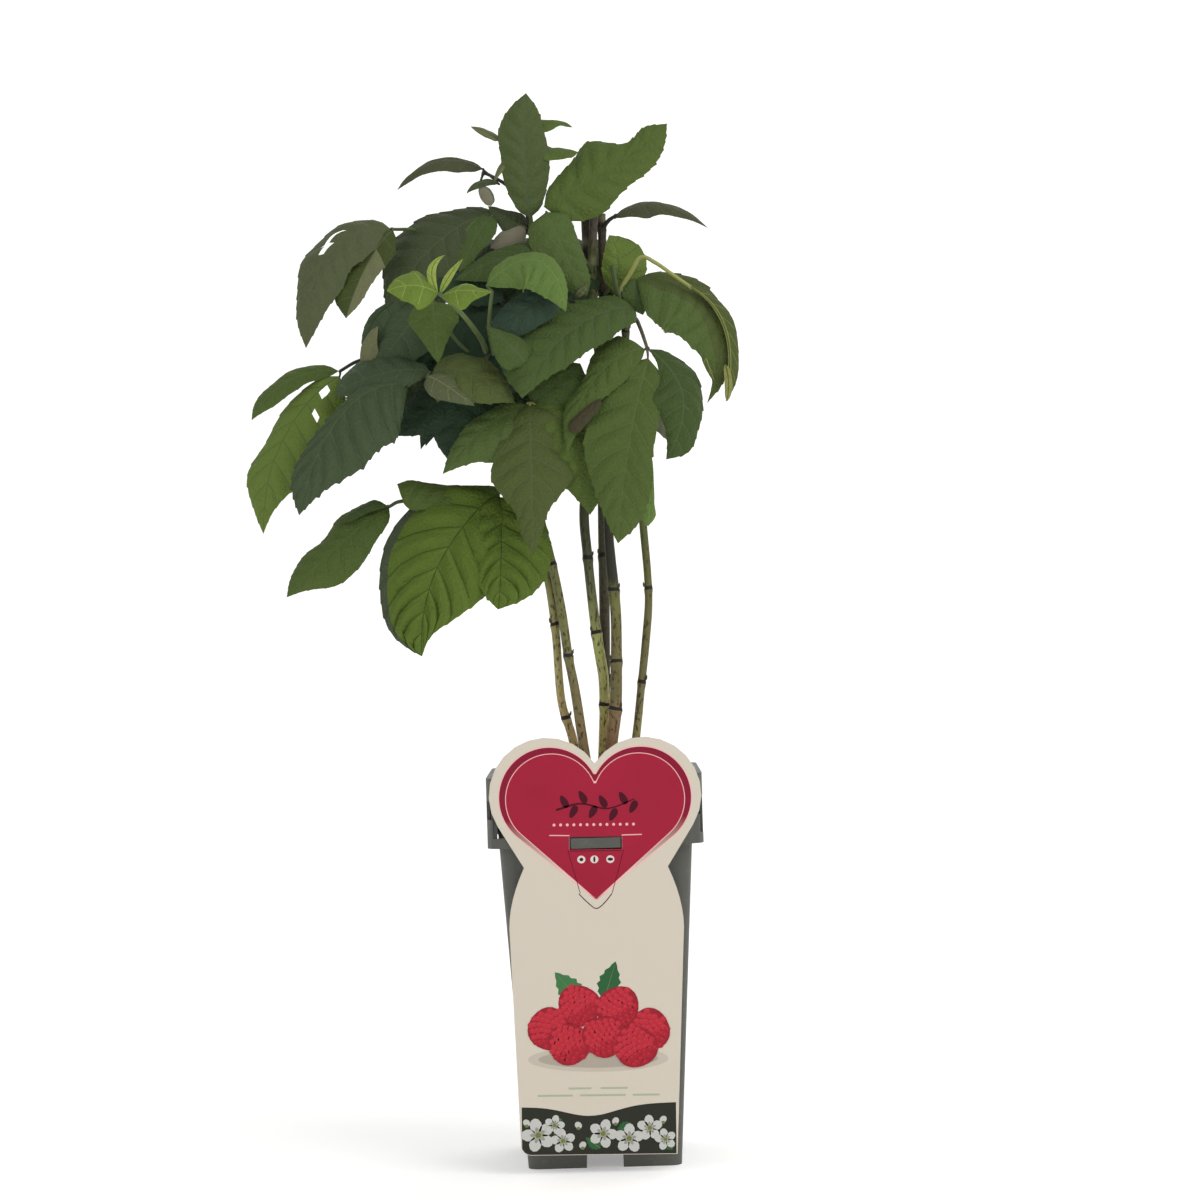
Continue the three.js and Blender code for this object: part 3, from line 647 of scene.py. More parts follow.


# The pale colours low on the canes, most of all on the third, are partly the bark's own tan and
# partly painted light that offsets the shade which the neighbouring canes cast there.
CANES = {
    "cane_1": Cane(
        [(-7, 4, 176), (-13.5, 2, 210), (-19.3, 1, 230), (-22, 0, 262), (-24.8, -1, 284),
         (-28.6, 0, 301), (-32, 0, 315), (-37, 1, 345), (-46, 0, 384), (-56, -10, 401)],
        (2.2, 1.9), (221.5, 268, 318, 374, 392),
        [(176, "#9c794f"), (212, "#b69e6f"), (240, "#aca371"), (262, "#9a9464"), (290, "#868454"),
         (330, "#636e41")],
    ),
    "cane_2": Cane(
        [(-3, -9, 176), (-8.6, -8, 210), (-12.3, -7, 234), (-15.8, -6, 252), (-18.8, -5, 272),
         (-22.2, -5, 290), (-25.4, -5, 304), (-30.5, -4, 326), (-32, -2, 362), (-32, 1, 400),
         (-33, 3, 430), (-34, 2, 468)],
        (2.5, 1.9), (252.5, 298, 352, 410, 438, 458),
        [(176, "#7e5a3c"), (212, "#8d7b56"), (235, "#756d47"), (270, "#797a4b"), (292, "#74764a"),
         (312, "#5e6141"), (420, "#4d4b35")],
    ),
    "cane_3": Cane(
        [(0, 6, 176), (1.8, 4, 201), (2.3, 3, 222), (1.8, 3, 240), (0.2, 2, 251), (-1.6, 2, 262),
         (-4.0, 1, 281), (-6.2, 0, 302), (-7.9, 0, 324), (-5.5, -1, 352), (-1.5, -2, 385),
         (-0.8, -1, 405), (-4, 3, 432), (-3.2, 4, 474)],
        (2.9, 2.1), (228, 264, 301.5, 352, 398, 444),
        [(176, "#967e55"), (205, "#c6b676"), (232, "#aba86b"), (255, "#a7ab6a"), (270, "#868a58"),
         (281, "#6a6e48"), (300, "#4a5038"), (320, "#3d4228"), (400, "#4d572e"), (448, "#586034"),
         (462, "#4a463a")],
    ),
    "cane_4": Cane(
        [(1, 14, 176), (2.4, 11, 230), (2.2, 9, 276), (1.3, 8, 320), (0.6, 9, 380),
         (-0.6, 10, 405), (-5, 10, 430), (-7.4, 10, 473)],
        (2.8, 2.2), (240, 302.5, 370, 408, 454),
        [(176, "#4f3f2e"), (240, "#45392a"), (290, "#4a4634"), (320, "#50523b"),
         (440, "#463f38")],
    ),
    "cane_5": Cane(
        [(3.5, -5, 176), (5.8, -5, 208), (7.6, -5, 224), (8.1, -5, 246), (8, -4, 270),
         (6.8, -4, 286), (5.2, -3, 302), (4.2, -2, 320), (3.5, 2, 370), (2, 6, 425),
         (0.8, 9, 473)],
        (3.3, 2.1), (226, 249.5, 285.5, 340, 388, 432, 466),
        [(176, "#6e4c3a"), (205, "#88684b"), (221, "#8f7853"), (230, "#716a44"), (257, "#6c663d"),
         (280, "#71723f"), (284, "#62643c"), (290, "#2d3025"), (320, "#2f3127"), (440, "#4b4339")],
    ),
    "cane_6": Cane(
        [(13, 3, 176), (18, 3, 211), (20.7, 1, 237), (22.8, 0, 258), (24.3, 0, 278),
         (23.7, 0, 294), (21.6, 0, 317), (18, 2, 360), (13.5, 2, 398), (12.5, 0, 424)],
        (2.1, 1.8), (239.5, 286, 330, 378, 415),
        [(176, "#716341"), (211, "#948e5e"), (228, "#77714c"), (252, "#67643e"), (280, "#646238"),
         (305, "#555a2e"), (330, "#5d663a")],
    ),
}


def cane_at(name, up):
    """The place on a cane's line at a height, between its two nearest points."""
    points = np.array(CANES[name].points, float)
    return np.array([np.interp(up, points[:, 2], points[:, k]) for k in (0, 1)] + [up])


def bell(x, wide):
    """A bump that is 1 where x is 0 and has fallen to 1/e at a distance of wide."""
    return np.exp(-((x / wide) ** 2))


def cane_rows(cane, rng):
    """A cane as rings on its path, and the mark of each place. The radius tapers from foot to
    tip, swells at each ring and steps in just above it, is a little ribbed round, and wanders
    by a few hundredths. The mark is 1 on a ring and falls towards 0 in the bloom above it."""
    points = np.array(cane.points, float)
    points = np.vstack([points[0] + (points[0] - points[1]) * 0.2, points])
    places = smooth_path(points, CANE_ROWS)
    up = places[:, 2:3]
    along = np.linspace(0, 1, CANE_ROWS)[:, None]
    turn = np.linspace(0, 2 * np.pi, CANE_SIDES, endpoint=False)
    foot, tip = cane.radii
    radii = (foot + (tip - foot) * along) * np.ones_like(turn)
    mark = np.full(radii.shape, PLAIN_BARK)
    for k, ring in enumerate(cane.rings):
        scar = 0.9 * np.cos(turn - (0.6 + np.pi * (k % 2)))
        gap = up - ring - 0.35 * scar
        radii = radii * (1 + 0.17 * bell(gap + 0.7, 1.9))
        radii = radii - 0.16 * bell(gap - 0.25, 0.35)
        mark = np.maximum(mark, PLAIN_BARK + (1 - PLAIN_BARK) * bell(gap - 0.1, 0.95))
        mark = mark - PLAIN_BARK * bell(gap - 5, 3.2) * (gap > 1)
    wander = rng.uniform(0, 2 * np.pi, 3)
    radii = radii * (1 + 0.025 * np.sin(5 * turn + wander[0] + 6 * along))
    radii = radii * (1 + 0.03 * np.sin(23 * along + wander[1]))
    rows = tube_rows(seen(places), radii * MM, CANE_SIDES)
    return rows, np.vstack([mark[:1], mark, mark[-1:]])


def build_cane(name, cane, rng):
    """A cane with its cut end and a bud at each ring, on either side in turn."""
    rows, mark = cane_rows(cane, rng)
    pile = Pile()
    slots = np.full((len(rows) - 1, 1), pile.slot("bark_" + name))
    slots[-1] = pile.slot("cut_wood")
    pile.add(rows, slots, mark)
    for k, ring in enumerate(cane.rings):
        add_bud(pile, name, ring, -1 if k % 2 else 1, rng)
    place(pile.build(name + "_bark"), "cane", name)


def add_bud(pile, name, ring, way, rng):
    """A pointed resting bud in the axil of a ring: a short tube that swells and closes."""
    start = cane_at(name, ring + 0.6)
    out = np.array([way, rng.uniform(-0.5, 0.5) - 0.5, 0])
    base = start + out * np.interp(ring, [COMPOST_TOP, CANE_TOP], CANES[name].radii) * 0.7
    path = np.array([base, base + out * 0.7 + [0, 0, 1.0], base + out + [0, 0, 2.6]])
    rows = tube_rows(seen(smooth_path(path, len(BUD_RADII))), BUD_RADII * MM, 6)
    pile.add(rows, pile.slot("bud_scale"), np.full(rows.shape[:2], PLAIN_BARK))


# ---- foliage -------------------------------------------------------------------------

# The leaves in front and at the sides, each by the name of the node that it stands for.
SPRAYS = {
    "leaf_top": Spray("cane_2", 466, "stalk_green", [(-35, -2, 474)], [
        Blade((-35, -2, 471), (-37.5, -6, 502), (-37, -10, 533.5), (6.5, 11, 12, 13, 6.5),
              (7, 11, 12, 9.5, 5.2), (0, 15), "leaf_top", sag=0.16),
        Blade((-34, -4, 515.5), (-23, -1, 518.8), (-13.6, 2, 516.3), (4.2, 3.2, 2.2, 1.6, 0.7),
              (4, 4, 2.6, 1.6, 0.8), (0, 50), "leaf_fresh", pleat=0.4),
        Blade((-31, -5, 504.2), (-21, -3, 504), (-10.8, 0, 504), (4, 4.4, 3.8, 2.6, 1.2),
              (4, 4, 4, 3.4, 1.5), (0, 50), "leaf_fresh", pleat=0.4),
        Blade((-50, -7, 509.5), (-57, -4, 513.6), (-64.8, 0, 516.8), (1.5, 2.2, 2.2, 1.7, 0.8),
              (1.5, 2.1, 2, 1.6, 0.8), (-10, 40), "leaf_straw", pleat=0.3, edge="leaf_fresh",
              edge_side=-1),
        Blade((-46, -6, 501), (-50, -5, 495.5), (-53, -5, 489), (1, 1.8, 1.8, 1.3, 0.6),
              (1, 1.4, 1.4, 1, 0.5), (-10, 30), "leaf_straw", pleat=0.3),
    ]),
    "leaf_top_right": Spray("cane_2", 458, "stalk_green", [(-27, 2, 470), (-20, -3, 474)], [
        Blade((-28, -3, 476.5), (5, 0, 494.5), (33.5, 4, 518.3), (8.5, 14.5, 20, 6.5, 6),
              (11.5, 16, 12.5, 11.5, 6), (8, 26), "leaf_fresh", sag=0.2),
    ]),
    "leaf_top_left": Spray("cane_2", 464, "stalk_dark", [(-38, 6, 477), (-46, 8, 487),
                           (-58, 6, 494)], [
        Blade((-58.5, 6, 495.5), (-82, 2, 498), (-101.5, -2, 484.8), (3.5, 4.2, 4.2, 2.8, 1.2),
              (3, 3.8, 3.8, 2.7, 1.2), (-20, 50), "leaf_thin", pleat=0.4, sag=0.25),
        Blade((-50.5, 0, 488), (-59, -1, 488.6), (-66.8, -3, 483.2), (1, 2, 2.2, 1.8, 0.9),
              (1, 2, 2.2, 1.8, 0.9), (-20, 40), "leaf_curl", pleat=0.3),
        Blade((-60.5, -2, 486.8), (-57, -2, 482), (-54.5, -2, 477), (2, 3.4, 3.6, 3.2, 2.2),
              (1.5, 2.6, 3, 2.6, 1.6), (-20, 10), "leaf_blush", pleat=0.3, vein="leaf_blush",
              edge="leaf_curl", edge_side=-1),
    ]),
    "leaf_right_thin": Spray("cane_5", 466, "stalk_dark", [(4.5, 2, 470), (8, 0, 472.2)], [
        Blade((7, 0, 471), (29, -4, 477), (54.2, -10, 465.8), (2.4, 3.8, 3.8, 3.4, 1.5),
              (2.5, 5, 5.2, 3.4, 1), (15, 60), "leaf_thin", pleat=0.4, sag=0.25),
    ]),
    "leaf_left_upper": Spray("cane_2", 424, "stalk_green", [(-68, 14, 452), (-90, 8, 464),
                             (-104, 0, 465.5)], [
        Blade((-104, 0, 465), (-135, -8, 449), (-147, -16, 405.8), (8, 11.5, 11, 11, 5),
              (8, 14, 14.8, 9.6, 5), (-22, 32), "leaf_olive", sag=0.25, pleat=0.8,
              holes=((0.22, 0.38, 7, 0.5), (0.36, 0.46, 6, -0.5))),
        Blade((-103.5, -3, 465), (-116, -11, 447), (-127, -17, 420.8), (4.6, 9, 7.5, 5.5, 3.2),
              (5, 9, 11.5, 12.5, 7.5), (-10, 25), "leaf_dusk", pleat=0.6, edge="leaf_straw",
              edge_side=-1, edge_columns=4, edge_from=0.3, sag=0.15),
    ]),
    "leaf_upper_left": Spray("cane_2", 438, "stalk_brown", [(-42, 10, 464), (-53, 6, 472.5)], [
        Blade((-52, 6, 473), (-78, 1, 458), (-107, -5, 424), (8, 14, 16, 14, 7),
              (7, 12.5, 19.5, 24.5, 9), (-12, 34), "leaf_grey", sag=0.18),
        Blade((-36, 4, 463), (-45, 4, 469), (-56, 5, 477), (5, 7, 6, 4, 2), (5, 7, 6.5, 4, 2),
              (0, 26), "leaf_grey", pleat=0.5),
        Blade((-54, 3, 472), (-62, -5, 461), (-70.5, -12, 443.5), (5, 7, 7, 5, 2.5),
              (5, 6.3, 6.5, 5, 2.5), (-5, 25), "leaf_calm", pleat=0.7, sag=0.1, edge="leaf_green",
              edge_side=1),
        Blade((-37, 2, 466), (-45.5, 1, 461), (-55, -1, 456), (3.4, 6, 6, 4.6, 2),
              (3, 4.6, 5, 4, 2), (10, 20), "leaf_blush", vein="leaf_blush", pleat=0.3),
    ]),
    "leaf_centre_upper": Spray("cane_3", 444, "stalk_green", [(-12, -2, 456), (-22, -6, 470),
                               (-26.5, -8, 473)], [
        Blade((-27, -8, 474), (-18, -11, 453), (-6.5, -14, 432), (10, 10, 9, 7.5, 4.5),
              (11, 13.5, 13, 10, 5), (2, 24), "leaf_green", pleat=0.9),
        Blade((-16, -8, 451), (-44, -13, 450), (-72.5, -18, 440), (7, 10, 11, 9, 4),
              (7, 9, 8, 6, 3), (-10, 34), "leaf_deep", pleat=0.8),
    ]),
    "leaf_young": Spray("cane_1", 400.5, "stalk_young", [(-60, -30, 411), (-70, -48, 424),
                        (-80, -58, 433)], [
        Blade((-81, -58, 433), (-94, -62, 435.5), (-106.7, -66, 434.5), (5, 8.7, 9.2, 6.5, 2.6),
              (5, 9, 9.2, 7.2, 2.8), (-10, 35), "leaf_young", pleat=0.9),
        Blade((-79, -58, 432.5), (-67, -62, 433.6), (-53.8, -66, 434), (2, 4.6, 4.8, 3, 1.2),
              (3, 6, 7.4, 4, 1.5), (10, 40), "leaf_young", pleat=0.8, edge="leaf_new",
              edge_side=-1),
        Blade((-81, -58, 433), (-84, -60, 445), (-77.3, -58, 452.6), (1.2, 2.2, 2.3, 1.5, 0.6),
              (1.2, 2, 2, 1.5, 0.6), (0, 10), "leaf_new", vein="leaf_young", pleat=0.3),
        Blade((-80, -58, 433), (-75.3, -58, 442), (-68.3, -58, 450.8), (1, 1.8, 1.9, 1.4, 0.6),
              (1, 1.8, 1.8, 1.3, 0.5), (10, 15), "leaf_new", vein="leaf_young", pleat=0.3),
    ], 1.5),
    "leaf_left_middle": Spray("cane_1", 394, "stalk_green", [(-72, -22, 410), (-82, -33, 428)], [
        Blade((-83.5, -34, 429.5), (-82.5, -38, 415), (-81, -42, 398.3), (9, 12, 9, 5.2, 2.2),
              (10, 12.6, 9.8, 5.8, 2.2), (0, 22), "leaf_mid", pleat=0.9),
    ]),
    "leaf_centre_light": Spray("cane_1", 390, "stalk_young", [(-55, -26, 412), (-55, -36, 425),
                               (-54, -39, 434)], [
        Blade((-57, -39, 437), (-31, -44, 447.5), (-17, -50, 424), (5, 6.5, 6, 5, 2.5),
              (6, 12, 14.5, 12, 6), (4, 38), "leaf_lit"),
    ]),
    "leaf_left_inner": Spray("cane_2", 410, "stalk_green", [(-50, 4, 420), (-82, -8, 428)], [
        Blade((-82, -8, 431), (-97, -15, 412), (-113, -21, 394), (8, 13, 14, 11, 5),
              (8, 13, 14, 10, 4.5), (-12, 28), "leaf_steel"),
        Blade((-100, -4, 430), (-112, -8, 419), (-118, -11, 403), (7, 9, 9, 7, 3),
              (2.5, 3.5, 4, 3.5, 2), (-24, 20), "leaf_steel", vein="vein_dark", pleat=0.4),
        Blade((-111, -14, 417), (-116.3, -17, 404.5), (-116.8, -18, 390), (1.5, 3.5, 5, 4.5, 2.5),
              (2, 3.5, 3.6, 2.6, 1), (-24, 14), "leaf_straw", vein="leaf_straw", pleat=0.3),
    ]),
    "leaf_left_large": Spray("cane_1", 392, "stalk_green", [(-70, -28, 397), (-85, -34, 393)], [
        Blade((-84, -34, 393), (-65, -43, 391), (-42.5, -50, 378.5), (9, 12.5, 12, 9, 4),
              (11, 14.5, 13.5, 10, 4), (4, 34), "leaf_moss", tooth=0.9),
        Blade((-86.5, -44, 392), (-77, -49.5, 386.5), (-62.5, -53, 377), (2.6, 4.8, 5, 3.6, 1.6),
              (4.4, 7, 7, 5, 2), (-4, 30), "leaf_olive", vein="leaf_straw", pleat=0.7),
        Blade((-96, -35, 387), (-127.5, -42, 371), (-150.5, -50, 322.3), (14, 22, 23, 20, 6.5),
              (3, 4, 4.5, 7.5, 8), (-8, 34), "leaf_cool", pleat=1.6, tooth=1.7, edge="leaf_curl",
              edge_side=1, ahead=0.22),
        Blade((-85, -33, 394), (-106, -32, 391.5), (-132.5, -31, 381.5), (4, 6, 6, 5, 3),
              (5, 10, 13, 17, 12), (-8, 45), "leaf_steel", pleat=0.8),
    ]),
    # Two dark blades in the deep shade under the left leaves; their tint is painted shade.
    "leaf_left_shade": Spray("cane_1", 386, "stalk_dark", [(-55, -10, 391), (-60, -14, 389)], [
        Blade((-60, -14, 389), (-68, -19, 370), (-76, -24, 350), (10, 16, 16, 12, 6),
              (10, 16, 18, 14, 6), (-10, 22), "leaf_night_shade"),
        Blade((-63, -13, 388), (-82, -17, 376), (-101, -20, 362), (7, 11, 12, 9, 4),
              (7, 12, 13, 11, 5), (-12, 22), "leaf_night_shade"),
    ]),
    "leaf_far_left": Spray("cane_1", 374, "stalk_dark", [(-80, 6, 392), (-112, -2, 400),
                           (-121, -6, 399.5), (-130, -10, 394.5)], [
        Blade((-130.5, -10, 394.5), (-156, -15, 388.3), (-174.2, -20, 369.8),
              (2.5, 4, 5.4, 5, 2.4), (4, 6, 6.6, 5, 3), (-18, 42), "leaf_mid", pleat=0.7),
        Blade((-130, -12, 392), (-157.5, -22, 357.5), (-168.3, -32, 313), (12, 16, 17, 13, 3.5),
              (6, 9.5, 9.5, 12.5, 5), (-18, 20), "leaf_bright", pleat=0.8, tooth=0.5,
              holes=((0.08, 0.14, 3, 0), (0.2, 0.24, 2, 0))),
    ]),
    "leaf_low_centre": Spray("cane_2", 352, "stalk_pale", [(-31, -20, 372), (-35.5, -32, 378)], [
        Blade((-36, -32, 377.5), (-59, -34, 362), (-78.7, -34, 343), (7, 12, 14.5, 8, 2.5),
              (5, 9, 9, 7, 3), (-8, 34), "leaf_green"),
        Blade((-35, -34, 378), (-34, -46, 340), (-33.3, -58, 302.3), (14, 18, 19, 8, 3),
              (10, 16.5, 19.5, 8.8, 4.2), (0, 24), "leaf_moss", pleat=0.9, sag=0.16),
        Blade((-33, -32, 378), (-12.5, -37, 355), (-5, -42, 322.5), (8, 14, 15, 11, 5),
              (8, 13, 15, 13.5, 5), (12, 28), "leaf_fresh", pleat=0.8),
        Blade((-34.5, -30, 378), (-22.5, -27, 386), (-9.8, -24, 398.3), (8, 12, 13, 10, 6),
              (6, 10, 11, 10, 7), (6, 30), "leaf_calm", pleat=0.8),
    ]),
    "leaf_low_left": Spray("cane_2", 314, "stalk_green", [(-38, -14, 330), (-51, -18, 334)], [
        Blade((-51, -19, 332), (-80, -34, 292.5), (-89, -46, 251.8), (20, 24, 25.5, 17, 3.4),
              (24, 31.5, 31.5, 24, 12.5), (-8, 22), "leaf_low", pleat=2.2, edge="leaf_curl",
              edge_side=1, tooth=0.6, ahead=0.3),
        Blade((-50.5, -19, 331.5), (-50, -34, 302), (-51, -46, 275.3), (22, 24, 25, 21, 10),
              (10, 16, 17, 12, 6), (8, 24), "leaf_low", pleat=2.2, tooth=0.8, ahead=0.26),
        Blade((-50, -17, 336), (-76, -19, 335.4), (-101.5, -22, 338), (8, 10, 10, 9.5, 8),
              (1.2, 1.2, 1.2, 2.2, 2), (-6, 40), "leaf_mid", pleat=0.8),
    ]),
    "leaf_lowest_left": Spray("cane_1", 304, "stalk_green", [(-60, 2, 326), (-96, -10, 329.5),
                              (-106, -14, 326.5)], [
        Blade((-105.5, -14, 326.5), (-131, -24, 304), (-156.7, -34, 281.3), (6, 9.5, 13.5, 11, 3),
              (11.5, 13, 10.5, 10.5, 5), (-14, 30), "leaf_mid", pleat=0.8, tooth=0.4),
        Blade((-106, -17, 327), (-117, -20.5, 325), (-128.5, -22.5, 318.5), (1.2, 1.8, 2, 1.8, 1),
              (3, 4.6, 4, 2.8, 1), (-14, 40), "leaf_deep", pleat=0.3),
    ]),
    "leaf_right_drooping": Spray("cane_5", 424, "stalk_pale", [(8, -6, 432), (15, -12, 443),
                                 (20.5, -15, 451.5), (28, -17, 448.5), (36, -19, 443),
                                 (46, -21, 436)], [
        Blade((18.5, -10, 441), (57, -19, 424), (53.5, -27, 378.3), (4.6, 5.6, 3.5, 3, 4),
              (19.5, 25, 24, 18.5, 1.6), (16, 32), "leaf_green", pleat=0.9, sag=0.1,
              edge="leaf_moss", edge_side=-1, edge_columns=5, inner=1),
        Blade((44, -22, 437.5), (63, -25, 415.5), (62.8, -28, 379), (2.4, 4.4, 5, 4.4, 3),
              (0.8, 1.2, 1.2, 1.2, 1), (24, 30), "leaf_moss", vein="leaf_rim", pleat=0.5,
              edge="leaf_rim", edge_side=1, sag=0.1),
        Blade((62.5, -29, 398), (64, -29.5, 389), (63.4, -29.5, 379.2), (1.6, 2.2, 2.4, 2, 1.2),
              (1.2, 1.6, 1.8, 1.6, 1), (24, 20), "leaf_rim", pleat=0.2, vein="leaf_moss"),
        Blade((51.3, -24, 406), (54, -26, 397.5), (57.5, -27, 389), (1.6, 2.6, 2.6, 1.8, 0.8),
              (1.2, 2, 2, 1.4, 0.8), (20, 20), "leaf_moss", pleat=0.3, vein="leaf_rim"),
        Blade((17, -9, 441), (18, -10, 432), (21.5, -13, 422.5), (4, 7, 8, 6, 2.5),
              (4, 6, 6.5, 4.5, 2), (10, 24), "leaf_side_shade", pleat=0.5),
    ]),
    "leaf_right_inner": Spray("cane_5", 432, "stalk_green", [(6, -1, 437)], [
        Blade((6.5, -1, 434), (8.5, -3, 449), (4.5, -4, 462.5), (5, 7.5, 7.5, 6, 3),
              (8, 14, 15, 12, 5), (10, 24), "leaf_bright", pleat=0.9),
        Blade((2, 13, 447), (9.5, 12, 436), (20, 9, 424), (5, 9, 9, 7, 3.5), (5, 8.5, 8.5, 6, 3),
              (8, 24), "leaf_dusk", pleat=0.7),
        Blade((-12.5, -16, 431), (-9.5, -17, 434), (-6, -17, 437.5), (0.8, 1.5, 1.6, 1.2, 0.6),
              (0.8, 1.6, 1.8, 1.4, 0.6), (0, 10), "leaf_straw", pleat=0.2),
    ]),
    "leaf_right_low": Spray("cane_6", 415, "stalk_brown", [(17, -9, 421), (20, -16, 416),
                            (23.5, -25, 406)], [
        Blade((24, -26, 401), (14, -46, 355), (9, -62, 308.3), (9, 12, 12, 13.5, 8),
              (14, 19, 21.5, 14.5, 5.5), (6, 22), "leaf_mid", pleat=1.2, sag=0.14),
        Blade((24.5, -20, 354), (24.5, -21, 336), (24, -22, 316.8), (1.6, 2.2, 2.6, 2.8, 3),
              (2, 3, 3.4, 3.6, 3.6), (20, 10), "leaf_lit", pleat=0.3),
        Blade((0.8, -43, 380.8), (-7.5, -46, 372.5), (-15.5, -47, 364), (1.8, 3, 3.4, 3.6, 3),
              (1.4, 2.4, 2.8, 3.2, 2.6), (-6, 28), "leaf_bronze", vein="leaf_bronze", pleat=0.5),
        Blade((22.5, -25, 405.3), (-4, -36, 387.5), (-16.6, -48, 352.3), (6, 10, 9, 5.5, 2),
              (13, 10.5, 4.5, 6.5, 2.6), (-6, 28), "leaf_mid", pleat=0.9),
        Blade((24.5, -25, 405.5), (40, -31, 380), (33, -36, 350.3), (6, 12, 12, 9.5, 7.5),
              (2, 7, 14, 9, 3), (24, 20), "leaf_deep", pleat=0.9),
    ]),
    "leaf_centre_right": Spray("cane_6", 423, "stalk_green", [(18, -12, 425)], [
        Blade((18, -13, 424.5), (-12.5, -37, 412.5), (-39, -58, 380.8), (8, 11, 12, 11, 3.8),
              (14, 20, 23, 26, 15), (-2, 36), "leaf_calm", pleat=1.2),
        Blade((-37, -51.5, 397), (-47, -50.5, 408), (-57, -49, 417), (8, 9, 7, 4, 1.6),
              (7, 8.5, 6.5, 3.8, 1.5), (-2, 36), "leaf_calm", pleat=0.6),
    ]),
}
# Leaves in the shade between the front leaves and the canes; their dark tints are painted
# shade, and the slate ones a painted shadow cast by the leaves in front.
SHADE = {
    "centre": Spray("cane_3", 420, "stalk_dark", [(-12, -18, 428), (-19, -34, 432)], [
        Blade((-19, -37, 433.5), (-37, -41, 424), (-56, -43, 411.5), (6, 9, 9.5, 8, 4),
              (6, 9, 10, 8, 4), (0, 26), "leaf_slate_shadow"),
    ]),
    "left": Spray("cane_2", 416, "stalk_dark", [(-42, -4, 424), (-49, -11, 428)], [
        Blade((-48, -12, 430), (-67, -14, 436), (-88, -16, 432), (5, 8, 8, 6, 3), (5, 9, 10, 8, 4),
              (-6, 26), "leaf_night_shade"),
        Blade((-49, -10, 427), (-64, -12, 414), (-82, -14, 402), (8, 13, 14, 11, 5),
              (7, 12, 13, 10, 5), (-6, 26), "leaf_night_shade"),
    ]),
    "behind": Spray("cane_4", 446, "stalk_dark", [(-5.5, 8, 450)], [
        Blade((-6, 7, 452), (-11, 4, 439), (-13, 1, 424), (7, 10, 11, 9, 4), (7, 11, 12, 10, 5),
              (0, 20), "leaf_shade"),
        Blade((-8, 6, 451), (-30, 0, 442), (-50, -4, 428), (6, 9, 10, 8, 4), (7, 12, 14, 12, 6),
              (0, 26), "leaf_shade"),
    ]),
    "deep": Spray("cane_2", 426, "stalk_dark", [(-36, 8, 430)], [
        Blade((-37, 8, 430), (-62, 5, 415), (-94, 2, 390), (9, 15, 17, 14, 7), (9, 15, 16, 13, 6),
              (-4, 24), "leaf_night_shade"),
        Blade((-37, 8, 430), (-46, 6, 440), (-58, 4, 452), (6, 10, 11, 9, 4), (6, 9, 10, 8, 4),
              (-4, 24), "leaf_shade"),
        Blade((-34, -2, 398), (-40, -8, 384), (-44, -12, 366), (8, 12, 13, 10, 4),
              (8, 12, 13, 10, 5), (-4, 24), "leaf_shade"),
    ]),
    "stub": Spray("cane_5", 427, "stalk_green", [(9, -8, 430), (7.5, -10, 439), (6.2, -11, 447.5)],
                  [], 1.7),
    "middle": Spray("cane_2", 396, "stalk_dark", [(-37, -10, 406)], [
        Blade((-38, -14, 409), (-45, -20, 396), (-50, -24, 380), (7, 10, 11, 9, 4),
              (7, 11, 12, 9, 4), (-4, 24), "leaf_slate_shadow"),
    ]),
}
# Leaves on the far side and where they go: the angle from straight ahead seen from above, how
# far the stalk reaches and rises, and how long a leaflet is and how far it hangs.
BACK_LEAVES = [
    ("cane_4", 454, -128, 42, 2, 50, 30),
    ("cane_3", 452, -158, 44, 4, 50, 34),
    ("cane_5", 434, 156, 30, 0, 42, 12),
    ("cane_4", 402, -178, 46, -20, 50, 34),
    ("cane_3", 412, -132, 52, -12, 56, 38),
    ("cane_2", 390, -124, 48, 2, 54, 36),
    ("cane_4", 370, -150, 46, -2, 48, 24),
    ("cane_6", 386, -170, 24, -4, 34, 26),
    ("cane_6", 382, 168, 20, 1, 26, 10),
]
# The leaflets of a leaf that grows by the rule: the turn from its heading in degrees, the
# share of the length and the share of the drop; and their half widths as shares of the widest.
LEAFLETS = ((0, 1, 1), (72, 0.84, 0.7), (-72, 0.84, 0.7))
LEAFLET_SHAPE = np.array([0.62, 0.98, 0.95, 0.66, 0.26])
# The turn in radians from one leaf to the next inside a heart.
SPIRAL_STEP = 137.5
# Dense inner foliage: its middle, its half sizes and the canes it grows from.
HEARTS = {
    "foliage_heart_left": ((-70, 14, 412), (27, 15, 22), ("cane_1", "cane_2")),
    "foliage_heart_low": ((-60, 16, 376), (22, 14, 13), ("cane_1", "cane_2")),
    "foliage_heart_middle": ((-26, 18, 424), (20, 14, 22), ("cane_3", "cane_4")),
}


def grow_spray(blades, stalks, spray, rng, props):
    """A leaf: its stalk from the cane's line, a short stalk to each blade, and the blades."""
    start = cane_at(spray.cane, spray.up)
    add_stalk(stalks, [start, *spray.stalk], spray.thick, spray.thick * 0.7, spray.tone)
    hub = np.array(spray.stalk[-1], float)
    for spec in spray.blades:
        foot = np.array(spec.foot, float)
        gap = np.linalg.norm(foot - hub)
        if 0.8 < gap < 22:
            middle = (hub + foot) / 2 + [0, 1, 0.6]
            ahead = foot + (np.array(spec.over) - foot) * 0.06
            add_stalk(stalks, [hub, middle, foot, ahead], 0.7, 0.45, spray.tone)
        add_blade(blades, spec, rng, props)


def bearing_way(bearing):
    """The level direction at an angle from straight ahead, clockwise from above."""
    b = math.radians(bearing)
    return np.array([math.sin(b), -math.cos(b), 0])


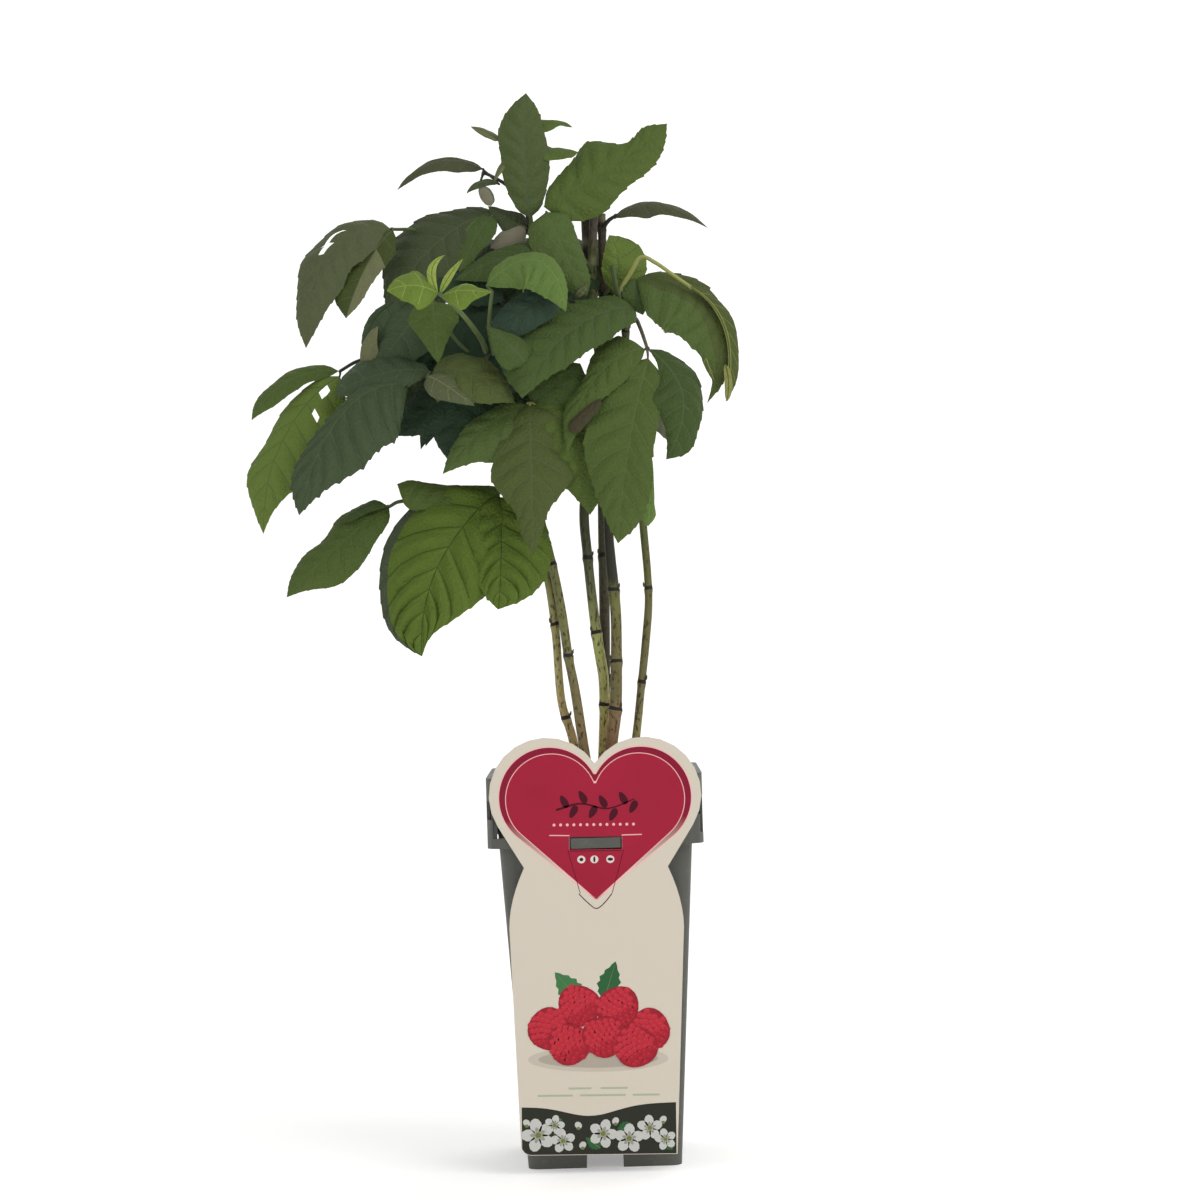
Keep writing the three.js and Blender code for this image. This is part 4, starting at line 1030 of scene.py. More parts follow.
def compound_leaf(cane, up, bearing, reach, rise, length, hang, tints, rng):
    """The rule for a leaf that isn't placed one by one: a stalk that runs out on its bearing and
    rises, a leaflet ahead at its end and one at each side, all hanging and unalike."""
    start = cane_at(cane, up)
    way = bearing_way(bearing)
    hub = start + way * reach + [0, 0, rise]
    blades = []
    for turn, size, drop in LEAFLETS:
        turn = turn + rng.uniform(-8, 8)
        heading = bearing_way(bearing + turn)
        size = size * rng.uniform(0.92, 1.06)
        foot = hub + heading * 2
        tip = hub + heading * length * size + [0, 0, -hang * drop * rng.uniform(0.85, 1.1)]
        over = (foot + tip) / 2 + heading * 2 + [0, 0, 5 + 0.08 * length]
        widths = LEAFLET_SHAPE * (length * size * 0.3)
        left, right = (widths * rng.uniform(0.9, 1.08) for _ in range(2))
        blades.append(Blade(foot, over, tip, left, right, (bearing + turn, 55),
                            tints[rng.integers(len(tints))]))
    knee = start + way * reach * 0.5 + [0, 0, rise + 4]
    return Spray(cane, up, "stalk_green", [knee, hub], blades)


# ---- settings ------------------------------------------------------------------------


def colour_property(name, description, colour):
    """A colour setting whose default is a hex colour."""
    return FloatVectorProperty(
        name=name, description=description, subtype="COLOR", size=3, min=0, max=1,
        default=to_linear(colour)[:3],
    )


def length_property(name, description, mm):
    """A length setting in metres whose default is stated in mm."""
    return FloatProperty(
        name=name, description=description, default=mm * MM, min=0, unit="LENGTH", precision=5
    )


class FoliageSettings(bpy.types.PropertyGroup):
    """Sizes and colours of the leaves and their stalks."""

    seed: IntProperty(name="Seed", description="Start of the branching rule", default=11)
    thickness: length_property("Blade thickness", "Thickness of a leaf blade", 0.22)
    tooth_pitch: FloatProperty(
        name="Tooth pitch", description="Millimetres of blade to a tooth", default=4.4, min=1
    )
    tooth_depth: FloatProperty(
        name="Tooth depth", description="Tooth depth as a share of the half width, in mm per mm",
        default=0.036, min=0, subtype="FACTOR", max=0.5,
    )
    pleat: FloatProperty(
        name="Pleat depth", description="Bulge between side veins in mm", default=1.7, min=0
    )


LEAF_COLOURS = {tint: colour for tint, (colour, _) in LEAF_TINTS.items()}
for tint, colour in (UNDERSIDE_TINTS | VEIN_TINTS | STALK_TINTS | LEAF_COLOURS).items():
    label = tint.replace("_", " ").capitalize()
    FoliageSettings.__annotations__[tint] = colour_property(label, label + " colour", colour)


class PotSettings(bpy.types.PropertyGroup):
    """Colours of the pot and the card, and sizes of the pot's and the compost's fine detail."""

    seed: IntProperty(name="Seed", description="Start of the compost's crumbs", default=4)
    edge: length_property("Edge rounding", "Rounding of the pot's moulded edges", 0.35)
    crumbs: IntProperty(name="Crumbs", description="Loose crumbs of compost", default=700, min=0)
    plastic: colour_property("Pot", "Moulded pot", "#51524c")
    stock: colour_property("Card", "Unprinted card", "#d2c9ba")
    heart: colour_property("Heart", "Printed heart", "#a0223a")
    band: colour_property("Heart band", "Darker band round the heart", "#861b34")
    line: colour_property("Heart line", "Thin line round the heart", "#efb3b0")
    ground: colour_property("Dark ground", "Printed ground under the blossom", "#2f3129")


# ---- pot and compost -----------------------------------------------------------------


def toned(tree, colour, pattern, spread):
    """A colour whose brightness a pattern moves up and down by a share."""
    value = node(tree, "MapRange", {"To Min": 1 - spread, "To Max": 1 + spread}, Value=pattern)
    return node(tree, "HueSaturation", {"Color": (*colour, 1)}, Value=value.outputs[0]).outputs[0]


def pot_material(props):
    """Recycled polypropylene, injection moulded: a dull skin with a fine grain, faint upright
    flow marks and paler scuffs, which break up the broad shine."""
    tree, skin = shader("moulded_polypropylene", Roughness=0.5, Specular_IOR_Level=0.42)
    flow = grain(tree, 14, 2, (1, 1, 6))
    scuffs = ramp(tree, grain(tree, 5, 5, (1, 1, 0.6)), [(0.58, 0.0), (0.74, 0.2)])
    paint(tree, skin, mixed(tree, scuffs, toned(tree, props.plastic, flow, 0.12), "#787872"))
    rough = node(tree, "MapRange", {"To Min": 0.42, "To Max": 0.62}, Value=flow)
    tree.links.new(rough.outputs[0], skin.inputs["Roughness"])
    relief(tree, skin, grain(tree, 0.9, 2), 0.06, 0.4)


# How a CAD copy is cleaned: doubles closer than this in metres are merged, and faces that turn
# less than FLAT degrees made one. Edges that turn more than CRISP stay crisp, and those that
# turn more than ROUNDED are rounded.
CAD_WELD, FLAT, CRISP, ROUNDED = 2e-6, 1.5, 30, 40


def cad_copy(name, new_name, material, bevel):
    """A copy of a CAD node with its doubles merged, its flats made whole and its edges rounded
    by a bevel."""
    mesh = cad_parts[name].data.copy()
    mesh.name = new_name
    work = bmesh.new()
    work.from_mesh(mesh)
    bmesh.ops.remove_doubles(work, verts=work.verts, dist=CAD_WELD)
    flat = math.radians(FLAT)
    bmesh.ops.dissolve_limit(work, angle_limit=flat, verts=work.verts, edges=work.edges)
    work.to_mesh(mesh)
    work.free()
    mesh.materials.clear()
    piece = finished(mesh, new_name, [material], CRISP)
    rounding = piece.modifiers.new("edges", "BEVEL")
    rounding.width = bevel
    rounding.segments = 2
    rounding.limit_method = "ANGLE"
    rounding.angle_limit = math.radians(ROUNDED)
    return piece


class RASPBERRY_OT_pot(bpy.types.Operator):
    """The tall square pot, moulded, with softened edges"""

    bl_idname = "raspberry.pot"
    bl_label = "Pot"

    def execute(self, context):
        props = context.scene.raspberry_pot
        pot_material(props)
        pot = cad_copy("pot", "nursery_pot", MATERIALS["moulded_polypropylene"], props.edge)
        place(pot, "pot_plastic", "pot")
        return {"FINISHED"}


# The waves of the compost's bed: height in mm and length in metres over 2 pi.
WAVES = ((0.7, 0.006), (0.5, 0.0035), (0.35, 0.0019))
BED_AROUND, BED_ROWS, CRUMB_AROUND = 96, 40, 6
# A crumb's profile: radius and height of its rings as shares of its size.
CRUMB_RADII, CRUMB_HEIGHTS = np.array([0, 0.75, 0.75, 0]), np.array([1, 0.5, -0.5, -1])


def compost_material():
    """Moist peat and bark compost: near black crumbs, brown fibres and a few pale specks."""
    tree, skin = shader("moist_compost", Roughness=0.92, Specular_IOR_Level=0.2)
    crumb = ramp(tree, grain(tree, 2.5, 5), [(0.35, "#17120e"), (0.62, "#4a3b2c")])
    pale = ramp(tree, grain(tree, 1.3, 2), [(0.68, 0.0), (0.74, 1.0)])
    paint(tree, skin, mixed(tree, pale, crumb, "#7a6a52"))
    relief(tree, skin, grain(tree, 0.9, 4), 0.6, 0.8)


def square_plan(turn):
    """A rounded square's outline at each turn: the ray's way out of a square of half width 1
    whose corners are round, as a 9th-power norm."""
    return 1 / (np.abs(np.cos(turn)) ** 9 + np.abs(np.sin(turn)) ** 9) ** (1 / 9)


def add_bed(pile, low, high, centre, top_half, rng):
    """The block of compost: rings from the middle of its top out to the edge, with waves and
    crumbs that die away there, then down its sides to a foot 0.82 as wide."""
    turn = np.linspace(0, 2 * np.pi, BED_AROUND, endpoint=False)
    shares = np.concatenate([np.linspace(0, 1, BED_ROWS), [1.0, 1.0]])[:, None]
    level = np.append(np.full(BED_ROWS, high.z), [high.z - 3 * MM, low.z + MM])[:, None]
    half = np.append(np.full(BED_ROWS + 1, top_half), top_half * 0.82)[:, None]
    reach = square_plan(turn) * half * shares
    x, y = reach * np.cos(turn), reach * np.sin(turn)
    across, along = rng.uniform(0, 6, 3), rng.uniform(0, 6, 3)
    bumps = sum(
        tall * np.sin(x / long + p) * np.sin(y / long + q)
        for (tall, long), p, q in zip(WAVES, across, along)
    )
    edge = np.clip((1 - shares) * 8, 0, 1)
    on_top = (level > high.z - MM).astype(float)
    z = level + (bumps * edge - 0.9 + rng.uniform(-0.35, 0.35, x.shape) * edge) * MM * on_top
    z[0] = z[0].mean()
    rows = np.stack([x, y, z], -1) + centre
    bottom = single(centre + [0, 0, low.z + MM], BED_AROUND)
    pile.add(np.concatenate([rows, bottom]), pile.slot("moist_compost"))


def add_crumb(pile, centre, top, reach, rng):
    """A crumb: a six-sided bead, stretched, roughened, turned and half sunk in the bed."""
    spin = np.linspace(0, 2 * np.pi, CRUMB_AROUND, endpoint=False)
    size = rng.uniform(0.5, 1.5) * MM
    at = rng.uniform(-1, 1, 2) * reach
    radii, heights = CRUMB_RADII[:, None], CRUMB_HEIGHTS[:, None]
    shape = np.stack([radii * np.cos(spin), radii * np.sin(spin), heights + 0 * spin], -1)
    shape = shape * rng.uniform(0.6, 1.3, 3) + 0.12 * rng.standard_normal(shape.shape)
    shape[0], shape[-1] = shape[0].mean(0), shape[-1].mean(0)
    tilt = np.array(Matrix.Rotation(rng.uniform(0, 6), 3, Vector(rng.uniform(-1, 1, 3))))
    crumb = shape @ tilt.T * size + centre + [*at, top - 0.7 * MM]
    crumb[..., 2] = np.minimum(crumb[..., 2], top + 1.2 * MM)
    pile.add(crumb, pile.slot("moist_compost"))


class RASPBERRY_OT_compost(bpy.types.Operator):
    """The compost: a block whose top is a rough bed of crumbs"""

    bl_idname = "raspberry.compost"
    bl_label = "Compost"

    def execute(self, context):
        props = context.scene.raspberry_pot
        compost_material()
        rng = np.random.default_rng(props.seed)
        low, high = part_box("compost")
        centre = np.array([POT_X, POT_Y, 0]) * MM
        top_half = (high.x - low.x) / 2 - 0.2 * MM
        pile = Pile()
        add_bed(pile, low, high, centre, top_half, rng)
        for _ in range(props.crumbs):
            add_crumb(pile, centre, high.z, top_half - 2.5 * MM, rng)
        place(pile.build("compost_bed", sharp=80), "compost", "compost")
        return {"FINISHED"}


# ---- card ----------------------------------------------------------------------------

CARD_TOP = 210.8
CARD_TURN = math.radians(1)
STRAP_MIDDLE = 159.7
CARD_FRONT = -(RIM_HALF + 0.35 + 0.8)
# The printed shapes are thin slabs: how far their hidden side lies behind the card's front.
SUNK = -0.05
# The middle of the card's slot, as (across, down), and the oblong hole in the heart round it.
SLOT_MIDDLE = (0, 51.15)
SLOT_WIDE, SLOT_HIGH = 25.6, 6.1


def on_card(places, lift):
    """Places on the card's front, (across, down) from the middle line and the top of its lobes,
    lifted off it by a few hundredths of a millimetre; the card hangs turned about its strap."""
    across, down = np.moveaxis(np.asarray(places, float), -1, 0)
    up = CARD_TOP - STRAP_MIDDLE - down
    c, s = math.cos(CARD_TURN), math.sin(CARD_TURN)
    x = across * c + up * s
    z = up * c - across * s
    return np.stack([x + POT_X, CARD_FRONT - lift + POT_Y + 0 * x, z + STRAP_MIDDLE], -1) * MM


def slab(first, second, lift, axis=1):
    """The four lines round a flat shape between two outlines: both in front, then both behind."""
    sides = ((first, lift), (second, lift), (second, SUNK), (first, SUNK))
    return np.stack([on_card(*side) for side in sides], axis)


def turned(places, centre, turn):
    """(across, down) steps turned and taken from a centre."""
    x, y = np.moveaxis(np.asarray(places, float), -1, 0)
    c, s = math.cos(turn), math.sin(turn)
    return np.stack([x * c - y * s + centre[0], x * s + y * c + centre[1]], -1)


def add_patch(pile, slot, centre, outline, lift, turn=0.0):
    """A flat patch with a centre: the outline's (across, down) steps from it, turned."""
    around = turned(outline, centre, turn)
    pile.add(slab(0 * around + centre, around, lift, axis=0), pile.slot(slot))


def add_ring(pile, slot, outer, inner, lift):
    """A flat band between two outlines, (across, down) at the same turns."""
    pile.add(slab(outer, inner, lift), pile.slot(slot), ring=True)


def add_strip(pile, slot, path, wide, lift):
    """A flat ribbon along a path of (across, down) places, of one width or one for each."""
    path = np.asarray(path, float)
    heading = unit(np.gradient(path, axis=0))
    side = np.stack([-heading[:, 1], heading[:, 0]], -1) * np.asarray(wide)[..., None] / 2
    rows = slab(path + side, path - side, lift)
    pile.add(closed(rows, rows[0].mean(0), rows[-1].mean(0)), pile.slot(slot))


def heart_outline(turn, radius, aside, down, tip):
    """A heart's outline at each turn about the slot's middle: the furthest way out of two round
    lobes or of the wedge that their outer tangents close at the tip."""
    ray = np.stack([np.cos(turn), np.sin(turn)], -1)
    reach = np.zeros(len(turn))
    for way in (-1, 1):
        to = np.array([way * aside - SLOT_MIDDLE[0], down - SLOT_MIDDLE[1]])
        along = ray @ to
        inside = along**2 - (to @ to) + radius**2
        far = np.where(inside > 0, along + np.sqrt(np.maximum(inside, 0)), 0)
        reach = np.maximum(reach, far)
    run = np.array([aside, down - tip])
    angle = math.atan2(run[1], run[0]) + math.acos(-radius / np.linalg.norm(run))
    c, s = math.cos(angle), math.sin(angle)
    lobe, point = np.array([aside, down]), np.array([0, tip])
    wedge = np.full(len(turn), np.inf)
    for n, through in (((c, s), point), ((s, -c), lobe), ((0, -1), lobe)):
        for way in (-1, 1):
            normal = np.array(n) * [way, 1]
            room = normal @ (through * [way, 1] - SLOT_MIDDLE)
            speed = ray @ normal
            out = np.where(speed > 1e-6, room / np.maximum(speed, 1e-6), np.inf)
            wedge = np.minimum(wedge, out)
    return ray * np.maximum(reach, wedge)[:, None] + SLOT_MIDDLE


def slot_outline(turn):
    """The oblong edge of the printed heart round the card's slot, at each turn about it."""
    ray = np.stack([np.cos(turn), np.sin(turn)], -1)
    x, y = np.abs(ray.T)
    reach = 1 / np.maximum(x / (SLOT_WIDE / 2), y / (SLOT_HIGH / 2))
    return ray * reach[:, None] + SLOT_MIDDLE


def oval(wide, high, count=12, point=0.0):
    """An oval outline; point draws its lower end out."""
    t = np.linspace(0, 2 * np.pi, count, endpoint=False)
    return np.stack([wide * np.cos(t) * (1 - point * np.sin(t)), high * np.sin(t)], -1)


PRINT_TINTS = {
    "print_berry": "#bb2f3c", "print_berry_deep": "#982432", "print_berry_light": "#c23845",
    "print_berry_low": "#a82634", "print_leaf": "#427648", "print_leaf_deep": "#30603b",
    "print_shadow": "#c3b9ab", "print_shadow_deep": "#aca295", "print_ink": "#4a1322",
    "print_white": "#d8d2c8", "print_petal": "#c3c3be", "print_petal_deep": "#94968e",
    "print_pollen": "#a8a06a", "print_bud": "#6d7a4c", "print_rule": "#a7b39a",
}
# The heart's outlines from the outside in, as radius, aside, down and tip, and the inks between
# them and the edge round the slot.
HEART_LINES = ((24.8, 22.1, 29.1, 79), (24.3, 22.1, 29.1, 78.3), (22.4, 21.1, 30.0, 78.6),
               (22.0, 21.1, 30.0, 78.2))
HEART_INKS = ("print_line", "print_band", "print_line", "print_heart")
# The straight rules at the foot of the card, as across, down and width.
RULES = ((-9, 169.6, 11), (7.5, 169.6, 13), (-21, 173, 17), (2, 173, 22), (23, 173, 13))


def print_material(name, colour, texture=0.03, grain_mm=0.35):
    """Offset ink under a satin varnish: flat colour with a faint dot grain."""
    tree, skin = shader(name, Roughness=0.6, Specular_IOR_Level=0.12)
    ink = toned(tree, colour, grain(tree, grain_mm, 1), texture)
    paint(tree, skin, ink)
    return tree, skin, ink


def card_materials(props):
    """The card's stock and its inks; the heart's band fades to the stock towards its foot."""
    print_material("printed_card_stock", props.stock, 0.02)
    print_material("print_heart", props.heart, 0.16, 38)
    print_material("print_line", props.line)
    print_material("print_ground", props.ground, 0.1)
    tree, skin, band = print_material("print_band", props.band)
    fade = node(tree, "MapRange", {"From Min": 0.1455, "From Max": 0.1715}, Value=height_on(tree))
    share = ramp(tree, fade.outputs[0], [(0.0, 0.0), (1.0, 1.0)])
    faded = node(tree, "Mix", {"data_type": "RGBA", 6: (*props.stock, 1)}, _0=share, _7=band)
    paint(tree, skin, faded.outputs[2])
    for name, colour in PRINT_TINTS.items():
        print_material(name, to_linear(colour)[:3])


def add_berry(pile, at, turn, rng, size):
    """A printed berry: drupelets in staggered rows on a cone with a round nose, lighter at the
    upper left, each with a soft light spot, over one darker shape."""
    add_patch(pile, "print_berry_deep", at, oval(10.3 * size, 9.9 * size, 24, 0.16), 0.05, turn)
    for row in range(8):
        down = (row - 3.5) * 2.1 * size
        half = 8.3 * size * math.sqrt(max(0.04, 1 - ((row - 3.0) / 5.3) ** 2))
        for x in np.arange(-half + (row % 2) * 1.4 * size, half + 0.1, 2.8 * size):
            step = (x + rng.uniform(-0.3, 0.3), down + rng.uniform(-0.3, 0.3))
            spot = turned(step, at, turn)
            low = (spot[0] - at[0]) * 0.5 + (spot[1] - at[1]) > 2.5 * size
            tint, shine = ("berry_low", "berry") if low else ("berry", "berry_light")
            lift = 0.06 + 0.003 * row
            add_patch(pile, "print_" + tint, spot, oval(1.56 * size, 1.42 * size, 9), lift)
            glow = spot - [0.3 * size, 0.4 * size]
            add_patch(pile, "print_" + shine, glow, oval(0.6 * size, 0.5 * size, 7), 0.09)


def add_leaf_print(pile, at, length, wide, turn, slot="print_leaf"):
    """A printed leaf: a pointed toothed outline and a paler midrib."""
    t = np.linspace(0, 1, 12)
    half = wide * np.sin(np.pi * t**0.8) * (1 + 0.12 * np.cos(np.pi * np.arange(12)))
    edge = np.stack([np.append(half, -half[-2:0:-1]), np.append(t, t[-2:0:-1])], -1)
    add_patch(pile, slot, at, edge * [1, length] - [0, length / 2], 0.04, turn)
    midrib = turned([(0, -length * 0.45), (0, 0), (0, length * 0.42)], at, turn)
    add_strip(pile, "print_bud", midrib, (0.35, 0.3, 0.15), 0.055)


def add_blossom(pile, at, size, turn, rng):
    """A printed blossom: five broad petals, each with a shaded foot, round a mossy middle."""
    def add_round(slot, reach, bearing, wide, high, count, lift):
        spot = turned((size * reach, 0), at, bearing)
        add_patch(pile, slot, spot, oval(size * wide, size * high, count), lift, bearing)

    for k in range(5):
        bearing = turn + k * 2 * np.pi / 5 + rng.uniform(-0.08, 0.08)
        add_round("print_petal", 0.62, bearing, 0.5, 0.4, 10, 0.06)
        add_round("print_petal_deep", 0.34, bearing, 0.2, 0.12, 8, 0.075)
    add_round("print_bud", 0, 0, 0.2, 0.2, 8, 0.08)
    for k in range(7):
        spot = turned((size * 0.24, 0), at, k * 2 * np.pi / 7)
        add_patch(pile, "print_pollen", spot, oval(size * 0.06, size * 0.06, 6), 0.09)


class RASPBERRY_OT_card(bpy.types.Operator):
    """The hanging card: its stock, the printed heart, fruit and blossom"""

    bl_idname = "raspberry.card"
    bl_label = "Picture card"

    def execute(self, context):
        props = context.scene.raspberry_pot
        card_materials(props)
        card = cad_copy("picture_card", "hanging_card", MATERIALS["printed_card_stock"], 0.12 * MM)
        place(card, "card", "picture_card")
        pile = Pile()
        self.heart(pile)
        self.fruit(pile, np.random.default_rng(props.seed + 1))
        self.blossom(pile, np.random.default_rng(props.seed + 2))
        place(pile.build("card_print", sharp=0, weld=1e-6), "card")
        return {"FINISHED"}

    def heart(self, pile):
        """The heart's rings, and the marks in and under it that stand for printed words."""
        turn = np.linspace(0, 2 * np.pi, 180, endpoint=False) + np.pi / 180
        lines = [heart_outline(turn, *sizes) for sizes in HEART_LINES] + [slot_outline(turn)]
        for slot, outer, inner in zip(HEART_INKS, lines, lines[1:]):
            add_ring(pile, slot, outer, inner, 0.03)
        for way in (-1, 1):
            level = [(way * 12.6, 47.4), (way * 17, 47.3), (way * 22.4, 47.2)]
            add_strip(pile, "print_line", level, 0.5, 0.06)
            slant = [(way * 13.5, 54.4), (way * 10.6, 65), (way * 7.7, 75.4)]
            add_strip(pile, "print_ink", slant, 0.3, 0.05)
        add_strip(pile, "print_ink", [(-12.6, 54.9), (0, 54.9), (12.6, 54.9)], 0.3, 0.05)
        point = [(-8.4, 75.6), (-4, 80), (0, 82.8), (4, 80), (7.6, 75.6)]
        add_strip(pile, "print_ink", smooth_path(point, 15), 0.45, 0.05)
        for x, wide, high in ((-7.0, 1.0, 0.9), (-0.7, 0.55, 1.5), (7.0, 1.4, 0.8)):
            add_patch(pile, "print_white", (x, 59), oval(2.0, 1.9, 12), 0.06)
            add_patch(pile, "print_ink", (x, 59), oval(wide, high, 8), 0.08)
        stem = smooth_path([(-19, 35), (-7, 32.0), (6, 34.5), (19, 30)], 25)
        add_strip(pile, "print_ink", stem, np.linspace(1.1, 0.6, 25), 0.06)
        for k, (x, y) in enumerate(stem[2:-1:3]):
            way, turn = (1, 0.5) if k % 2 else (-1, np.pi - 0.5)
            spot = (x + 1.0, y + way * 3.2)
            add_patch(pile, "print_ink", spot, oval(1.7, 3.4, 12, 0.3), 0.06, turn)
        for x in np.arange(-20, 20.1, 3.2):
            add_patch(pile, "print_line", (x, 42.2), oval(0.75, 0.75, 8), 0.06)
        for x, y, wide in RULES:
            rule = [(x - wide / 2, y), (x, y), (x + wide / 2, y)]
            add_strip(pile, "print_rule", rule, 0.9, 0.04)

    def fruit(self, pile, rng):
        """Two leaves and seven berries on a soft shadow."""
        add_patch(pile, "print_shadow", (0, 155.5), oval(34, 6.2, 32), 0.02)
        add_patch(pile, "print_shadow_deep", (0, 155.5), oval(29, 4.2, 32), 0.03)
        add_leaf_print(pile, (-14, 121), 20, 5.6, np.pi - 0.7)
        add_leaf_print(pile, (6, 118), 20, 5.2, np.pi + 0.3, "print_leaf_deep")
        spots = ((-9, 130, 0.4), (10, 131, -0.5), (-24, 141, 1.3), (25, 142, -1.1),
                 (-14, 148.5, 0.3), (3, 145, -0.15), (18, 150, 0.6))
        for k, (x, y, turn) in enumerate(spots):
            berry = Pile()
            add_berry(berry, (x, y), turn, rng, 1.02)
            pile.merge(berry, 6 * k)

    def blossom(self, pile, rng):
        """The dark ground with a swell in its top edge and a rounded left foot corner, its leaves,
        open blossoms and buds."""
        x = np.linspace(-37.3, 37.3, 60)
        top = 178.4 + 5.2 * bell(x + 4, 17) - 1.6 * (x + 37) / 74
        corner = np.clip(-32.8 - x, 0, 4.9)
        low = 201.5 - (5 - np.sqrt(25 - corner**2))
        first, second, middle = (np.stack([x, y], -1) for y in (top, low, (top + low) / 2))
        rows = closed(slab(first, second, 0.03), *on_card(middle[[0, -1]], 0))
        pile.add(rows, pile.slot("print_ground"))
        for x, y, turn in ((-20, 188, 0.4), (-3, 196, 2.2), (12, 189, 1.0), (33, 196, 2.6)):
            add_leaf_print(pile, (x, y), 9, 2.6, turn, "print_leaf_deep")
        spots = ((-29.5, 192, 8.6), (-17.5, 194.8, 6.4), (2, 191.5, 7.4), (14.5, 194, 7.6),
                 (24.5, 189, 6.6), (32, 194.6, 5.6), (-21.5, 187.2, 5.2))
        for k, (x, y, size) in enumerate(spots):
            flower = Pile()
            add_blossom(flower, (x, y), size * 0.86, rng.uniform(0, 1.2), rng)
            pile.merge(flower, 5 * k)
        for x, y in ((-10, 187.4), (-8, 197), (8, 185.5), (31, 185), (-35, 186)):
            add_patch(pile, "print_petal", (x, y), oval(1.6, 1.9, 10), 0.06, rng.uniform(-1, 1))
            add_patch(pile, "print_bud", (x, y + 1.5), oval(1.0, 0.8, 8), 0.07)


# ---- the plant's pieces --------------------------------------------------------------


class RASPBERRY_OT_canes(bpy.types.Operator):
    """The six canes, with rings, scars, bloom and buds in their bark"""

    bl_idname = "raspberry.canes"
    bl_label = "Canes"

    def execute(self, context):
        props = context.scene.raspberry_foliage
        rng = np.random.default_rng(props.seed)
        for name, rough, lump_mm, detail, dark, light in (
            ("cut_wood", 0.8, 0.8, 3, "#5a5040", "#8f8468"),
            ("bud_scale", 0.7, 0.7, 2, "#31281a", "#554c30"),
        ):
            tree, skin = shader(name, Roughness=rough)
            lumps = grain(tree, lump_mm, detail)
            paint(tree, skin, ramp(tree, lumps, [(0.3, dark), (0.7, light)]))
        for name, cane in CANES.items():
            bark_material("bark_" + name, cane.colours)
            build_cane(name, cane, rng)
        return {"FINISHED"}


def grow_all(name, nodes, sprays, rng, props):
    """Grows leaves into two pieces: the blades, which stand for the nodes, and the stalks."""
    blades, stalks = Pile(), Pile()
    for spray in sprays:
        grow_spray(blades, stalks, spray, rng, props)
    place(blades.build(name + "_leaves"), "foliage", *nodes)
    place(stalks.build(name + "_stalks"), "foliage")


def back_sprays(rng):
    """The leaves on the far side, each as the rule draws it."""
    # The last of these tints is the dark one of painted shade.
    tints = ("leaf_green", "leaf_deep", "leaf_cool", "leaf_fresh", "leaf_shade")
    for leaf in BACK_LEAVES:
        yield compound_leaf(*leaf, tints, rng)


def inner_sprays(rng):
    """The placed leaves in the shade, then five round each heart, drawn by the rule."""
    # These dark tints are painted shade, for the leaves deep inside the crown.
    tints = ("leaf_night_shade", "leaf_slate_shadow", "leaf_shade", "leaf_night_shade")
    yield from SHADE.values()
    for middle, half, canes in HEARTS.values():
        middle, half = np.array(middle, float), np.array(half, float)
        for k in range(5):
            turn = k * SPIRAL_STEP
            name = canes[k % len(canes)]
            at = middle + half * 0.45 * [math.sin(turn), -math.cos(turn), rng.uniform(-1, 1)]
            start = cane_at(name, min(at[2] - 6, CANES[name].points[-1][2] - 2))
            across, ahead, rise = at - start
            bearing = math.degrees(math.atan2(across, -ahead))
            length = rng.uniform(0.9, 1.15) * half[0]
            leaf = compound_leaf(name, start[2], bearing, math.hypot(across, ahead), rise, length,
                                 length * 0.7, tints, rng)
            for spec in leaf.blades:
                spec.face = (rng.uniform(-25, 25), rng.uniform(15, 50))
            yield leaf


class RASPBERRY_OT_front_leaves(bpy.types.Operator):
    """The leaves in front and at the sides, each grown from its place on a cane"""

    bl_idname = "raspberry.front_leaves"
    bl_label = "Front leaves"

    def execute(self, context):
        props = context.scene.raspberry_foliage
        foliage_materials(props)
        rng = np.random.default_rng(props.seed + 1)
        grow_all("front", SPRAYS, SPRAYS.values(), rng, props)
        return {"FINISHED"}


class RASPBERRY_OT_back_leaves(bpy.types.Operator):
    """The leaves on the far side, grown by the rule for a compound leaf"""

    bl_idname = "raspberry.back_leaves"
    bl_label = "Back leaves"

    def execute(self, context):
        props = context.scene.raspberry_foliage
        rng = np.random.default_rng(props.seed + 2)
        names = [f"leaf_back_{k + 1}" for k in range(7)]
        grow_all("back", names, back_sprays(rng), rng, props)
        return {"FINISHED"}


class RASPBERRY_OT_inner_leaves(bpy.types.Operator):
    """The dense shaded leaves inside the crown, grown round the canes by a seeded rule"""

    bl_idname = "raspberry.inner_leaves"
    bl_label = "Inner leaves"

    def execute(self, context):
        props = context.scene.raspberry_foliage
        rng = np.random.default_rng(props.seed + 3)
        grow_all("inner", HEARTS, inner_sprays(rng), rng, props)
        return {"FINISHED"}


# ---- stage ---------------------------------------------------------------------------

# The paper sweep in metres: flat from 3 in front of the origin to 1 behind it, then a quarter
# circle of radius 1 and upright to its top; half its width; its colour and how much it glows.
SWEEP_FLAT, SWEEP_HIGH, SWEEP_HALF = (-3.0, -1.5, 0, 1.0), 5.0, 4
QUARTER_TURN = 1.5708
PAPER, PAPER_GLOW = "#f4f4f2", 0.3
SKY_STRENGTH = 0.55
# Each lamp: its place from the pot's axis and its size in metres, and its power.
LAMPS = {
    "key": ((1.5, -1.2, 1.8), 1.5, 21),
    "fill": ((-1.6, -1.5, 0.7), 1.8, 6),
    "back": ((0.9, 1.3, 1.5), 1.4, 5),
}
LAMP_AIM = 0.3
# The camera's place beside the axis and above the floor in mm, and its lens.
CAMERA_ACROSS, CAMERA_UP, LENS = 5.6, 277, 96


